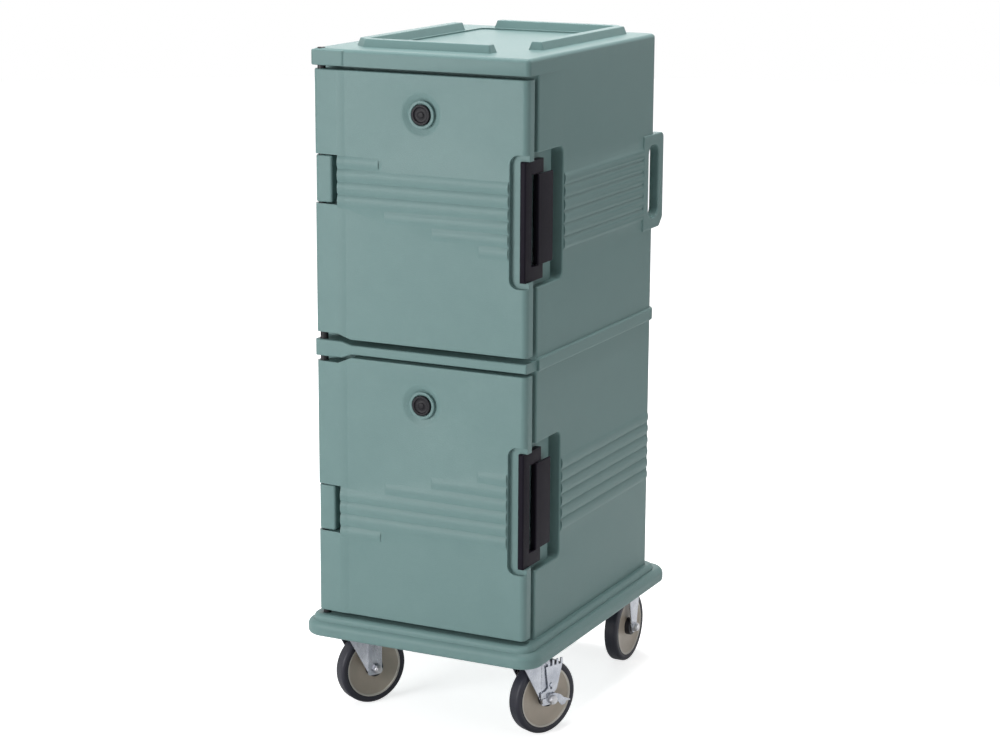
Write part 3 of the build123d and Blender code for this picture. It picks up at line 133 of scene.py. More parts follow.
room = bpy.data.worlds.new("room")
room.use_nodes = True
bpy.context.scene.world = room
room_tree = room.node_tree
room_tree.nodes.clear()
lit_room = put(room_tree, "ShaderNodeBackground", {"Color": white, "Strength": room_light})
seen_room = put(room_tree, "ShaderNodeBackground", {"Color": white, "Strength": 1.0})
either_room = put(room_tree, "ShaderNodeMixShader",
                  {0: seen_directly(room_tree, 1.0), 1: lit_room.outputs[0], 2: seen_room.outputs[0]})
put(room_tree, "ShaderNodeOutputWorld", {"Surface": either_room.outputs[0]})


def lamp(name, place, aim, size, watts):
    """A soft square lamp at a place, turned towards a point."""
    data = bpy.data.lights.new(name, "AREA")
    data.shape = "SQUARE"
    data.size = size
    data.energy = watts
    piece = bpy.data.objects.new(name, data)
    piece.location = place
    piece.rotation_euler = (Vector(aim) - Vector(place)).to_track_quat("-Z", "Y").to_euler()
    piece.visible_camera = False
    bpy.context.scene.collection.objects.link(piece)


lamp("key_lamp", (-2.3, -4.6, 1.6), (0.0, -0.3, 0.8), 2.4, 175.0)
lamp("top_lamp", (0.1, 0.2, 4.6), (0.0, 0.0, 0.8), 1.8, 166.0)
lamp("back_lamp", (-1.8, 3.9, 2.4), (0.0, 0.0, 1.37), 2.2, 18.0)
lamp("side_lamp", (4.4, -1.2, 1.6), (0.0, 0.0, 0.7), 1.8, 26.0)

sheet_shape = bmesh.new()
bmesh.ops.create_circle(sheet_shape, cap_ends=True, segments=96, radius=floor_radius)
sheet_mesh = bpy.data.meshes.new("floor")
sheet_shape.to_mesh(sheet_mesh)
sheet_shape.free()
floor = bpy.data.objects.new("floor", sheet_mesh)
bpy.context.scene.collection.objects.link(floor)
floor_paint = bpy.data.materials.new("pale floor")
floor_paint.use_nodes = True
floor_tree = floor_paint.node_tree
floor_shader = floor_tree.nodes["Principled BSDF"]
floor_shader.inputs["Base Color"].default_value = (0.90, 0.90, 0.90, 1.0)
floor_shader.inputs["Roughness"].default_value = 0.9
floor_shader.inputs["Specular IOR Level"].default_value = 0.1
floor_place = put(floor_tree, "ShaderNodeTexCoord", {}).outputs["Object"]
floor_reach = put(floor_tree, "ShaderNodeVectorMath", {0: floor_place}, {"operation": "LENGTH"})
floor_fade = put(floor_tree, "ShaderNodeMapRange",
                 {"Value": floor_reach.outputs["Value"], "From Min": floor_near, "From Max": floor_far,
                  "To Min": floor_lift, "To Max": 1.0})
floor_glow = put(floor_tree, "ShaderNodeMath",
                 {0: seen_directly(floor_tree, floor_gloss_share), 1: floor_fade.outputs[0]},
                 {"operation": "MULTIPLY"})
floor_tree.links.new(floor_glow.outputs[0], floor_shader.inputs["Emission Strength"])
floor_shader.inputs["Emission Color"].default_value = white
sheet_mesh.materials.append(floor_paint)

# Cabinet shell
# One rotationally moulded double wall of polyethylene with the base, cap, ridges, knuckles and handles.
# The mould's sand-blasted face leaves a fine grain, and the colour is in the plastic itself.
slate_green = (0.158, 0.258, 0.253, 1.0)
slate_green_deep = (0.148, 0.245, 0.241, 1.0)
slate_scuff = (0.32, 0.41, 0.405, 1.0)
merge_distance = 0.000005


def new_group(name, wants, gives):
    """An empty shader group with named sockets, and its two end nodes."""
    group = bpy.data.node_groups.new(name, "ShaderNodeTree")
    for title, kind, value in wants:
        socket = group.interface.new_socket(title, in_out="INPUT", socket_type=kind)
        if value is not None:
            socket.default_value = value
    for title, kind in gives:
        group.interface.new_socket(title, in_out="OUTPUT", socket_type=kind)
    start = group.nodes.new("NodeGroupInput")
    end = group.nodes.new("NodeGroupOutput")
    return group, start, end


# Grain of a mould face: fine pits, a slow waviness of the wall, and a cloudy tone in the pigment
grain_group, grain_in, grain_out = new_group(
    "mould grain",
    [("Vector", "NodeSocketVector", None), ("Grain per metre", "NodeSocketFloat", 900.0),
     ("Wave per metre", "NodeSocketFloat", 7.0), ("Wave share", "NodeSocketFloat", 0.5)],
    [("Height", "NodeSocketFloat"), ("Cloud", "NodeSocketFloat"), ("Speck", "NodeSocketFloat")],
)
fine = put(grain_group, "ShaderNodeTexNoise",
           {"Vector": grain_in.outputs["Vector"], "Scale": grain_in.outputs["Grain per metre"], "Detail": 3.0})
pit_rate = put(grain_group, "ShaderNodeMath", {0: grain_in.outputs["Grain per metre"], 1: 0.6},
               {"operation": "MULTIPLY"})
pits = put(grain_group, "ShaderNodeTexVoronoi",
           {"Vector": grain_in.outputs["Vector"], "Scale": pit_rate.outputs[0]})
wave = put(grain_group, "ShaderNodeTexNoise",
           {"Vector": grain_in.outputs["Vector"], "Scale": grain_in.outputs["Wave per metre"], "Detail": 1.0})
both = put(grain_group, "ShaderNodeMath", {0: fine.outputs["Fac"], 1: pits.outputs["Distance"]},
           {"operation": "ADD"})
height = put(grain_group, "ShaderNodeMath",
             {0: wave.outputs["Fac"], 1: grain_in.outputs["Wave share"], 2: both.outputs[0]},
             {"operation": "MULTIPLY_ADD"})
cloud_rate = put(grain_group, "ShaderNodeMath", {0: grain_in.outputs["Wave per metre"], 1: 3.0},
                 {"operation": "MULTIPLY"})
cloud = put(grain_group, "ShaderNodeTexNoise",
            {"Vector": grain_in.outputs["Vector"], "Scale": cloud_rate.outputs[0], "Detail": 8.0, "Roughness": 0.65})
grain_group.links.new(height.outputs[0], grain_out.inputs["Height"])
grain_group.links.new(cloud.outputs["Fac"], grain_out.inputs["Cloud"])
grain_group.links.new(fine.outputs["Fac"], grain_out.inputs["Speck"])

# Edge of a moulding or a pressing: a small round, and wear where the surface turns a corner
edge_group, edge_in, edge_out = new_group(
    "edge round and wear",
    [("Vector", "NodeSocketVector", None), ("Reach", "NodeSocketFloat", 0.003),
     ("Amount", "NodeSocketFloat", 1.0)],
    [("Mask", "NodeSocketFloat"), ("Normal", "NodeSocketVector")],
)
rounded = put(edge_group, "ShaderNodeBevel", {"Radius": edge_in.outputs["Reach"]}, {"samples": 6})
surface = put(edge_group, "ShaderNodeNewGeometry", {})
turned_by = put(edge_group, "ShaderNodeVectorMath", {0: rounded.outputs[0], 1: surface.outputs["Normal"]},
                {"operation": "DOT_PRODUCT"})
corner = put(edge_group, "ShaderNodeMapRange",
             {"Value": turned_by.outputs["Value"], "From Min": 0.995, "From Max": 0.8})
broken = put(edge_group, "ShaderNodeTexNoise", {"Vector": edge_in.outputs["Vector"], "Scale": 90.0, "Detail": 5.0})
patchy = put(edge_group, "ShaderNodeMapRange",
             {"Value": broken.outputs["Fac"], "From Min": 0.38, "From Max": 0.68})
rubbed = put(edge_group, "ShaderNodeMath", {0: corner.outputs[0], 1: patchy.outputs[0]}, {"operation": "MULTIPLY"})
worn = put(edge_group, "ShaderNodeMath", {0: rubbed.outputs[0], 1: edge_in.outputs["Amount"]},
           {"operation": "MULTIPLY", "use_clamp": True})
edge_group.links.new(worn.outputs[0], edge_out.inputs["Mask"])
edge_group.links.new(rounded.outputs[0], edge_out.inputs["Normal"])


def fill(tree, group, inputs):
    """Places a shader group in a material with its own values."""
    return put(tree, "ShaderNodeGroup", inputs, {"node_tree": group})


def plastic(name, colour, deep, scuff, grain, bump, gloss, shine, wear, reach=0.0015):
    """A moulded plastic: cloudy pigment, mould grain, a gloss that the pits break, and rubbed edges."""
    material = bpy.data.materials.new(name)
    material.use_nodes = True
    tree = material.node_tree
    shader = tree.nodes["Principled BSDF"]
    shader.inputs["Specular IOR Level"].default_value = shine
    place = put(tree, "ShaderNodeTexCoord", {}).outputs["Object"]
    skin = fill(tree, grain_group, {"Vector": place, "Grain per metre": grain})
    edge = fill(tree, edge_group, {"Vector": place, "Reach": reach, "Amount": wear})
    clouded = put(tree, "ShaderNodeMapRange", {"Value": skin.outputs["Cloud"], "From Min": 0.3, "From Max": 0.7})
    tone = put(tree, "ShaderNodeMix", {0: clouded.outputs[0], 6: deep, 7: colour}, {"data_type": "RGBA"})
    speckled = put(tree, "ShaderNodeMapRange",
                   {"Value": skin.outputs["Speck"], "From Min": 0.62, "From Max": 0.82, "To Max": 0.22})
    dusted = put(tree, "ShaderNodeMix", {0: speckled.outputs[0], 6: tone.outputs[2], 7: scuff},
                 {"data_type": "RGBA"})
    rubbed_tone = put(tree, "ShaderNodeMix", {0: edge.outputs["Mask"], 6: dusted.outputs[2], 7: scuff},
                      {"data_type": "RGBA"})
    tree.links.new(rubbed_tone.outputs[2], shader.inputs["Base Color"])
    dull = put(tree, "ShaderNodeMapRange",
               {"Value": skin.outputs["Cloud"], "To Min": gloss - 0.04, "To Max": gloss + 0.06})
    tree.links.new(dull.outputs[0], shader.inputs["Roughness"])
    relief = put(tree, "ShaderNodeBump",
                 {"Height": skin.outputs["Height"], "Strength": bump, "Distance": 0.0006,
                  "Normal": edge.outputs["Normal"]})
    tree.links.new(relief.outputs[0], shader.inputs["Normal"])
    return material


cabinet_plastic = plastic("slate polyethylene, cabinet", slate_green, slate_green_deep, slate_scuff,
                          900.0, 0.35, 0.42, 0.22, 0.30)


def settle(shape, name, paint, body, sharp=35.0):
    """Writes a finished shape as a painted piece on a body, smooth but for its sharp edges and its seams."""
    for face in shape.faces:
        face.smooth = True
    for edge in shape.edges:
        edge.smooth = edge.is_manifold and not edge.seam and edge.calc_face_angle(0.0) < math.radians(sharp)
    mesh = bpy.data.meshes.new(name)
    shape.to_mesh(mesh)
    shape.free()
    mesh.materials.append(paint)
    piece = bpy.data.objects.new(name, mesh)
    bpy.context.scene.collection.objects.link(piece)
    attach(piece, body)
    return piece


def merged(node):
    """A shape with the faces of a CAD node joined at their edges."""
    shape = bmesh.new()
    shape.from_mesh(nodes[node].data)
    bmesh.ops.remove_doubles(shape, verts=shape.verts, dist=merge_distance)
    bmesh.ops.dissolve_degenerate(shape, edges=shape.edges, dist=merge_distance / 2)
    return shape


def moulding(node, paint):
    """A merged and smooth-shaded copy of a CAD node, painted, that rides where the node rides."""
    piece = settle(merged(node), node + "_skin", paint, nodes[node]["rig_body"])
    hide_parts(node)
    return piece


def repaint(node, paint):
    """Gives a CAD node its material in every slot."""
    for index in range(len(nodes[node].data.materials)):
        nodes[node].material_slots[index].material = paint


moulding("cabinet_shell", cabinet_plastic)

# Doors
# Each door is a double wall of the same plastic, moulded with its stepped ribs and the vent's dish.
# It hangs on one long pin and closes on the rim of its compartment.
door_plastic = plastic("slate polyethylene, doors", slate_green, slate_green_deep, slate_scuff,
                       820.0, 0.35, 0.40, 0.24, 0.30)
door_front = -0.3224
near_enough = 0.0004
# Ribs: waves across the panel that begin in steps, and one short rib beside the hinge
rib_pitch = 0.0252
rib_count = 6
rib_starts = (0.1265, 0.026, -0.077, -0.178)
rib_end_slope = 0.004
short_rib_end = -0.077
short_rib_slope = 0.009
# Vent dish: its circles from the seat out to the rim, as the CAD has them and as the skin has them
vent_x = 0.0057
dish_depth = 0.0032
dish_sunk_more = 0.0035
dish_radii = (0.0206, 0.024, 0.03, 0.0398, 0.0425)
dish_new_radii = (0.0206, 0.0212, 0.0272, 0.0288, 0.0425)
# Hinge column: the strip left of the panel, which stands a little proud
column_edge = -0.1776
column_foot = -0.1599
column_rise = 0.0018
column_depth = 0.012
column_steps = 6
column_margin = 0.002


def redrawn_radius(radius):
    """The radius in the visible vent dish of a circle that has this radius in the CAD."""
    for index in range(len(dish_radii) - 1):
        inner, outer = dish_radii[index:index + 2]
        if inner <= radius <= outer:
            share = (radius - inner) / (outer - inner)
            return dish_new_radii[index] * (1 - share) + dish_new_radii[index + 1] * share
    return radius


def redraw_dish(shape, vent_z):
    """Gives the vent dish one long slope round a slimmer collar, and a crisp rim."""
    vent_middle = Vector((vent_x, door_front, vent_z))
    for edge in shape.edges:
        edge.seam = all(abs((end.co - vent_middle).length - dish_radii[-1]) < near_enough for end in edge.verts)
    for point in shape.verts:
        from_vent = Vector((point.co.x - vent_x, point.co.z - vent_z))
        radius = from_vent.length
        if point.co.y < door_front + dish_depth + near_enough and dish_radii[0] < radius < dish_radii[-1]:
            if point.co.y > door_front + dish_depth - near_enough and radius > dish_new_radii[3]:
                point.co.y += dish_sunk_more
            point.co.x = vent_x + from_vent.x * redrawn_radius(radius) / radius
            point.co.z = vent_z + from_vent.y * redrawn_radius(radius) / radius


def slope_rib_ends(shape, ribs_bottom, short_rib_middle):
    """Lays the square ends of the ribs back into slopes."""
    for point in shape.verts:
        row = math.floor((point.co.z - ribs_bottom) / rib_pitch)
        on_short_rib = abs(point.co.z - short_rib_middle) < rib_pitch / 2 + near_enough
        if point.co.y < door_front - near_enough / 2 and -1 <= row <= rib_count:
            for start in rib_starts:
                if abs(point.co.x - start) < near_enough:
                    ends_here = start == short_rib_end and on_short_rib
                    point.co.x = start - short_rib_slope if ends_here else start + rib_end_slope
                    break


def raise_column(shape):
    """Lifts the hinge column above the panel, with a soft slope down to it."""
    slope = [column_edge + (column_foot - column_edge) * step / column_steps for step in range(column_steps + 1)]
    for cut in [column_edge - column_margin] + slope + [column_foot + column_margin]:
        bmesh.ops.bisect_plane(shape, geom=shape.verts[:] + shape.edges[:] + shape.faces[:], dist=merge_distance,
                               plane_co=(cut, 0.0, 0.0), plane_no=(1.0, 0.0, 0.0))
    for point in shape.verts:
        along = min(max((column_foot - point.co.x) / (column_foot - column_edge), 0.0), 1.0)
        inward = min(max((door_front + column_depth - point.co.y) / column_depth, 0.0), 1.0)
        point.co.y -= column_rise * (1 - (1 - along) ** 2) * inward * inward * (3 - 2 * inward)


def door_skin(level_name, ribs_bottom, short_rib_middle, vent_z):
    """A door's skin, with the soft forms of the mould that the solid leaves out."""
    node = level_name + "_door_shell"
    shape = merged(node)
    redraw_dish(shape, vent_z)
    slope_rib_ends(shape, ribs_bottom, short_rib_middle)
    raise_column(shape)
    piece = settle(shape, node + "_skin", door_plastic, nodes[node]["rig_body"])
    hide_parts(node)


door_skin("upper", ribs_bottom=0.9757, short_rib_middle=1.1395, vent_z=1.2408)
door_skin("lower", ribs_bottom=0.409, short_rib_middle=0.3964, vent_z=0.675)

# Foam cores
# Rigid polyurethane foam, poured between the walls and sealed in: cream, matt and full of small cells.
foam = plastic("polyurethane foam", (0.74, 0.62, 0.38, 1.0), (0.66, 0.54, 0.31, 1.0), (0.80, 0.70, 0.48, 1.0),
               420.0, 0.9, 0.85, 0.2, 0.0)
for node in ("cabinet_foam", "upper_door_foam", "lower_door_foam"):
    repaint(node, foam)

# Gaskets
# A dark grey rubber bellows, extruded, bent round the door's inner panel and welded at the corners.
# Its three soft folds press on the rim of the compartment.
seal_rubber = plastic("seal rubber", (0.035, 0.036, 0.039, 1.0), (0.022, 0.023, 0.025, 1.0), (0.08, 0.08, 0.08, 1.0),
                      1400.0, 0.25, 0.62, 0.3, 0.3, 0.0006)
gasket_corner = 0.0245
fold_count = 3
fold_depth = 0.0022
fold_steps = 6
corner_steps = 8
gasket_wall = 0.009


def bellows(node):
    """A folded strip round the rectangle of a gasket node, as wide and deep as the node."""
    low, high = (Vector(point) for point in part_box(node))
    middle = (low + high) / 2
    half = (high - low) / 2
    outline = []
    for step in range(fold_count * fold_steps + 1):
        share = step / (fold_count * fold_steps)
        squeeze = fold_depth * (0.5 - 0.5 * math.cos(2 * math.pi * fold_count * share))
        outline.append((low.y + share * 2 * half.y, fold_depth - squeeze))
    outline += [(depth, gasket_wall - inset) for depth, inset in reversed(outline)]
    shape = bmesh.new()
    loops = []
    for depth, inset in outline:
        radius = gasket_corner - inset
        loop = []
        for quarter in range(4):
            side_x = 1 if quarter in (0, 3) else -1
            side_z = 1 if quarter in (0, 1) else -1
            centre_x = middle.x + side_x * (half.x - gasket_corner)
            centre_z = middle.z + side_z * (half.z - gasket_corner)
            for step in range(corner_steps + 1):
                angle = math.radians(90) * (quarter + step / corner_steps)
                loop.append(shape.verts.new(
                    (centre_x + radius * math.cos(angle), depth, centre_z + radius * math.sin(angle))))
        loops.append(loop)
    for index, loop in enumerate(loops):
        other = loops[(index + 1) % len(loops)]
        for place in range(len(loop)):
            beside = (place + 1) % len(loop)
            shape.faces.new((loop[place], loop[beside], other[beside], other[place]))
    bmesh.ops.recalc_face_normals(shape, faces=shape.faces)
    piece = settle(shape, node + "_bellows", seal_rubber, nodes[node]["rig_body"], 60.0)
    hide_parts(node)


for level_name in ("upper", "lower"):
    bellows(level_name + "_door_gasket")

# Latches
# Black glass-filled nylon: a frame let into the door's edge, a lever in it on a thin pin, and a strike.
# The hard edges of the mouldings are broken, and the hand has polished the lever.
black_nylon = plastic("black nylon", (0.0115, 0.0095, 0.0160, 1.0), (0.0080, 0.0066, 0.0112, 1.0),
                      (0.045, 0.042, 0.050, 1.0), 1500.0, 0.3, 0.46, 0.06, 0.4, 0.0009)
bevel_steps = 3


def eased(node, paint, width):
    """A copy of a CAD node with its hard edges broken by a narrow round."""
    shape = merged(node)
    bmesh.ops.dissolve_limit(shape, angle_limit=math.radians(1.0), verts=shape.verts, edges=shape.edges)
    hard = [edge for edge in shape.edges if edge.is_manifold and edge.calc_face_angle(0.0) > math.radians(40)]
    bmesh.ops.bevel(shape, geom=hard, offset=width, segments=bevel_steps, profile=0.5, affect="EDGES",
                    clamp_overlap=True)
    bmesh.ops.triangulate(shape, faces=[face for face in shape.faces if len(face.verts) > 4])
    piece = settle(shape, node + "_eased", paint, nodes[node]["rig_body"], 19.0)
    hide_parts(node)


for level_name in ("upper", "lower"):
    eased(level_name + "_latch_frame", black_nylon, 0.0012)
    eased(level_name + "_latch_lever", black_nylon, 0.0008)
    moulding(level_name + "_latch_strike", black_nylon)

# Vents
# A black cap with a raised rim and a dished face turns in the collar of each door.
# Its stem runs through the door to a nut inside, over a soft sealing ring.
vent_nylon = plastic("vent nylon", (0.012, 0.0115, 0.015, 1.0), (0.009, 0.0085, 0.0115, 1.0),
                     (0.06, 0.057, 0.065, 1.0), 1500.0, 0.3, 0.42, 0.2, 0.4, 0.0006)
vent_steps = 96
vent_stem_radius = 0.009
vent_face = 0.0060
vent_foot_chamfer = 0.001
vent_rim_inner = 0.0148
vent_rim_round = 0.0018
vent_lip_round = 0.0012
vent_dish_floor = 0.0031
vent_dish_inset = 0.0012
vent_groove_radius = 0.0105
vent_groove_depth = 0.0002
vent_button = 0.0052


def arc(centre_radius, centre_along, radius, start, end, steps=8):
    """Points (radius, along) of an arc in the outline of a turned piece, angles in degrees."""
    angles = [math.radians(start + (end - start) * step / steps) for step in range(steps + 1)]
    return [(centre_radius + radius * math.cos(a), centre_along + radius * math.sin(a)) for a in angles]


def turned(outline, steps, centre, axis, closed=False):
    """A shape of revolution from points (radius, along) round an axis through a centre."""
    shape = bmesh.new()
    turn = Vector((0.0, 0.0, 1.0)).rotation_difference(Vector(axis)).to_matrix()
    rings = []
    for radius, along in outline:
        count = 1 if radius < merge_distance else steps
        angles = [2 * math.pi * step / steps for step in range(count)]
        rings.append([
            shape.verts.new(Vector(centre) + turn @ Vector((radius * math.cos(a), radius * math.sin(a), along)))
            for a in angles
        ])
    pairs = list(zip(rings, rings[1:]))
    if closed:
        pairs.append((rings[-1], rings[0]))
    for first, second in pairs:
        for step in range(steps):
            beside = (step + 1) % steps
            corners = [first[step % len(first)], first[beside % len(first)],
                       second[beside % len(second)], second[step % len(second)]]
            distinct = list(dict.fromkeys(corners))
            if len(distinct) > 2:
                shape.faces.new(distinct)
    bmesh.ops.recalc_face_normals(shape, faces=shape.faces)
    return shape


for level_name in ("upper", "lower"):
    vent = level_name + "_vent_cap"
    low, high = (Vector(point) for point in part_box(vent))
    cap_radius = (high.x - low.x) / 2
    stem_length = high.y - low.y - vent_face
    seat = ((low.x + high.x) / 2, low.y + vent_face, (low.z + high.z) / 2)
    rim_middle = cap_radius - vent_rim_round
    outline = [(0.0, -stem_length), (vent_stem_radius, -stem_length), (vent_stem_radius, 0.0)]
    outline += [(cap_radius - vent_foot_chamfer, 0.0), (cap_radius, vent_foot_chamfer)]
    outline += arc(rim_middle, vent_face - vent_rim_round, vent_rim_round, 0, 90)
    outline += arc(vent_rim_inner + vent_lip_round, vent_face - vent_lip_round, vent_lip_round, 90, 180)
    outline += [(vent_rim_inner - 0.0004, vent_dish_floor + 0.0006)]
    outline += [(vent_rim_inner - vent_dish_inset, vent_dish_floor)]
    outline += [(vent_groove_radius, vent_dish_floor - vent_groove_depth), (vent_button + 0.0008, vent_dish_floor)]
    outline += arc(vent_button - 0.0006, vent_dish_floor + 0.0004, 0.0010, 0, 90, 5)
    outline += [(0.0, vent_dish_floor + 0.0015)]
    cap = settle(turned(outline, vent_steps, seat, (0.0, -1.0, 0.0)), vent + "_turned", vent_nylon,
                 nodes[vent]["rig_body"], 50.0)
    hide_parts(vent)
    eased(level_name + "_vent_nut", vent_nylon, 0.0006)
    moulding(level_name + "_vent_ring", seal_rubber)

# Hinge pins
# A long rod of black nylon down the hinge side of each door; the upper one's end shows on the cap.
hinge_nylon = plastic("hinge nylon", (0.013, 0.014, 0.017, 1.0), (0.009, 0.010, 0.012, 1.0),
                      (0.10, 0.11, 0.12, 1.0), 1400.0, 0.2, 0.36, 0.3, 0.4, 0.0006)
for level_name in ("upper", "lower"):
    moulding(level_name + "_hinge_pin", hinge_nylon)

# Latch pins and strike screws
# Bright drawn steel: a thin pin through each latch, and low-headed screws in the strikes.
rubbed_metal = (0.86, 0.86, 0.88, 1.0)


def metal(name, bright, dark, rough, brush, bump, reach=0.0006):
    """A plated or bare steel: cloudy plating, fine drawing marks and a slightly uneven shine."""
    material = bpy.data.materials.new(name)
    material.use_nodes = True
    tree = material.node_tree
    shader = tree.nodes["Principled BSDF"]
    shader.inputs["Metallic"].default_value = 1.0
    place = put(tree, "ShaderNodeTexCoord", {}).outputs["Object"]
    stretched = put(tree, "ShaderNodeMapping", {"Vector": place, "Scale": brush})
    marks = put(tree, "ShaderNodeTexNoise", {"Vector": stretched.outputs[0], "Scale": 60.0, "Detail": 4.0})
    patches = put(tree, "ShaderNodeTexNoise", {"Vector": place, "Scale": 45.0, "Detail": 3.0})
    edge = fill(tree, edge_group, {"Vector": place, "Reach": reach, "Amount": 0.8})
    cloudy = put(tree, "ShaderNodeMapRange", {"Value": patches.outputs["Fac"], "From Min": 0.35, "From Max": 0.65})
    tone = put(tree, "ShaderNodeMix", {0: cloudy.outputs[0], 6: dark, 7: bright}, {"data_type": "RGBA"})
    polished = put(tree, "ShaderNodeMix", {0: edge.outputs["Mask"], 6: tone.outputs[2], 7: rubbed_metal},
                   {"data_type": "RGBA"})
    tree.links.new(polished.outputs[2], shader.inputs["Base Color"])
    shine = put(tree, "ShaderNodeMapRange",
                {"Value": marks.outputs["Fac"], "To Min": rough - 0.08, "To Max": rough + 0.12})
    tree.links.new(shine.outputs[0], shader.inputs["Roughness"])
    relief = put(tree, "ShaderNodeBump",
                 {"Height": marks.outputs["Fac"], "Strength": bump, "Distance": 0.0002,
                  "Normal": edge.outputs["Normal"]})
    tree.links.new(relief.outputs[0], shader.inputs["Normal"])
    return material


pin_steel = metal("drawn steel", (0.62, 0.62, 0.64, 1.0), (0.48, 0.48, 0.50, 1.0), 0.32, (1.0, 1.0, 12.0), 0.15)
for level_name in ("upper", "lower"):
    moulding(level_name + "_latch_pin", pin_steel)


def new_growth(name, wants):
    """An empty geometry tree with a place mesh, named inputs and a material, and its two end nodes."""
    tree = bpy.data.node_groups.new(name, "GeometryNodeTree")
    tree.interface.new_socket("Places", in_out="INPUT", socket_type="NodeSocketGeometry")
    for title, kind in wants:
        tree.interface.new_socket(title, in_out="INPUT", socket_type=kind)
    tree.interface.new_socket("Paint", in_out="INPUT", socket_type="NodeSocketMaterial")
    tree.interface.new_socket("Geometry", in_out="OUTPUT", socket_type="NodeSocketGeometry")
    start = tree.nodes.new("NodeGroupInput")
    end = tree.nodes.new("NodeGroupOutput")
    return tree, start, end


def close_growth(tree, start, end, instances):
    """Ends a geometry tree: the instances become real and take their material."""
    real = put(tree, "GeometryNodeRealizeInstances", {"Geometry": instances})
    dressed = put(tree, "GeometryNodeSetMaterial", {"Geometry": real.outputs[0], "Material": start.outputs["Paint"]})
    tree.links.new(dressed.outputs[0], end.inputs["Geometry"])


def grow(tree, name, places, values, body, stands_for):
    """Runs a geometry tree on a set of points and keeps the result as a plain piece on a body."""
    seeds = bpy.data.meshes.new(name + "_places")
    seeds.from_pydata(places, [], [])
    seed = bpy.data.objects.new(name + "_places", seeds)
    bpy.context.scene.collection.objects.link(seed)
    growth = seed.modifiers.new("growth", "NODES")
    growth.node_group = tree
    for socket in tree.interface.items_tree:
        if socket.item_type == "SOCKET" and socket.in_out == "INPUT" and socket.name in values:
            growth[socket.identifier] = values[socket.name]
    view = bpy.context.evaluated_depsgraph_get()
    mesh = bpy.data.meshes.new_from_object(seed.evaluated_get(view))
    mesh.name = name
    bpy.data.objects.remove(seed)
    piece = bpy.data.objects.new(name, mesh)
    bpy.context.scene.collection.objects.link(piece)
    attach(piece, body)
    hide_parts(stands_for)


# Screw on a wall that faces +X: a low cone with a flat top
screw_tree, screw_in, screw_out = new_growth("low screws on a wall", [
    ("Head radius", "NodeSocketFloat"), ("Head height", "NodeSocketFloat")])
screw_top = put(screw_tree, "ShaderNodeMath", {0: screw_in.outputs["Head radius"], 1: 0.6},
                {"operation": "MULTIPLY"})
screw_head = put(screw_tree, "GeometryNodeMeshCone",
                 {"Vertices": 24, "Radius Top": screw_top.outputs[0], "Radius Bottom": screw_in.outputs["Head radius"],
                  "Depth": screw_in.outputs["Head height"]})
screw_laid = put(screw_tree, "GeometryNodeTransform",
                 {"Geometry": screw_head.outputs["Mesh"], "Rotation": (0.0, math.radians(90), 0.0)})
screw_copies = put(screw_tree, "GeometryNodeInstanceOnPoints",
                   {"Points": screw_in.outputs["Places"], "Instance": screw_laid.outputs[0]})
close_growth(screw_tree, screw_in, screw_out, screw_copies.outputs[0])
screw_low, screw_high = (Vector(point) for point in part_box("strike_screws"))
screw_y = (screw_low.y + screw_high.y) / 2
screw_from_end = 0.009
screw_head_radius = 0.004
screw_head_height = 0.0016
strike_face = 0.216
screw_places = []
for level_name in ("upper", "lower"):
    strike_low, strike_high = (Vector(point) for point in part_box(level_name + "_latch_strike"))
    for end_z in (strike_low.z + screw_from_end, strike_high.z - screw_from_end):
        screw_places.append((strike_face, screw_y, end_z))
grow(screw_tree, "strike_screw_heads", screw_places,
     {"Head radius": screw_head_radius, "Head height": screw_head_height, "Paint": pin_steel},
     "cabinet", "strike_screws")

# Casters, steel parts
# Zinc-plated pressed steel: plates bolted under the base, forks, rigid frames, axles, brake and lock.
zinc = metal("zinc plate", (0.50, 0.52, 0.565, 1.0), (0.40, 0.42, 0.47, 1.0), 0.25, (3.0, 3.0, 1.0), 0.2)
for corner_name in ("front_left", "front_right"):
    moulding(corner_name + "_caster_plate", zinc)
    eased(corner_name + "_fork", zinc, 0.0005)
    moulding(corner_name + "_kingpin", pin_steel)
    eased(corner_name + "_axle_nut", pin_steel, 0.0005)
for corner_name in ("rear_left", "rear_right"):
    eased(corner_name + "_caster_frame", zinc, 0.0005)
for corner_name in ("front_left", "front_right", "rear_left", "rear_right"):
    moulding(corner_name + "_axle", pin_steel)
for node in ("swivel_lock_ring", "brake_lever", "lock_plate"):
    eased(node, zinc, 0.0005)
eased("rear_axle_nuts", pin_steel, 0.0005)
moulding("lock_rivet", zinc)

# Caster bolts
# Sixteen hexagon bolts with washers hold the plates to the base, four at the corners of each plate.
bolt_spread = (0.076, 0.092)
bolt_head_radius = 0.007
bolt_washer_radius = 0.0088
bolt_washer_thickness = 0.0010
plate_thickness = 0.004
bolt_tree, bolt_in, bolt_out = new_growth("hexagon bolts at the corners of plates", [
    ("Spread X", "NodeSocketFloat"), ("Spread Y", "NodeSocketFloat"), ("Head radius", "NodeSocketFloat"),
    ("Head height", "NodeSocketFloat"), ("Washer radius", "NodeSocketFloat"),
    ("Washer thickness", "NodeSocketFloat")])
bolt_corners = put(bolt_tree, "GeometryNodeMeshGrid",
                   {"Size X": bolt_in.outputs["Spread X"], "Size Y": bolt_in.outputs["Spread Y"],
                    "Vertices X": 2, "Vertices Y": 2})
bolt_plates = put(bolt_tree, "GeometryNodeInstanceOnPoints",
                  {"Points": bolt_in.outputs["Places"], "Instance": bolt_corners.outputs["Mesh"]})
bolt_points = put(bolt_tree, "GeometryNodeRealizeInstances", {"Geometry": bolt_plates.outputs[0]})
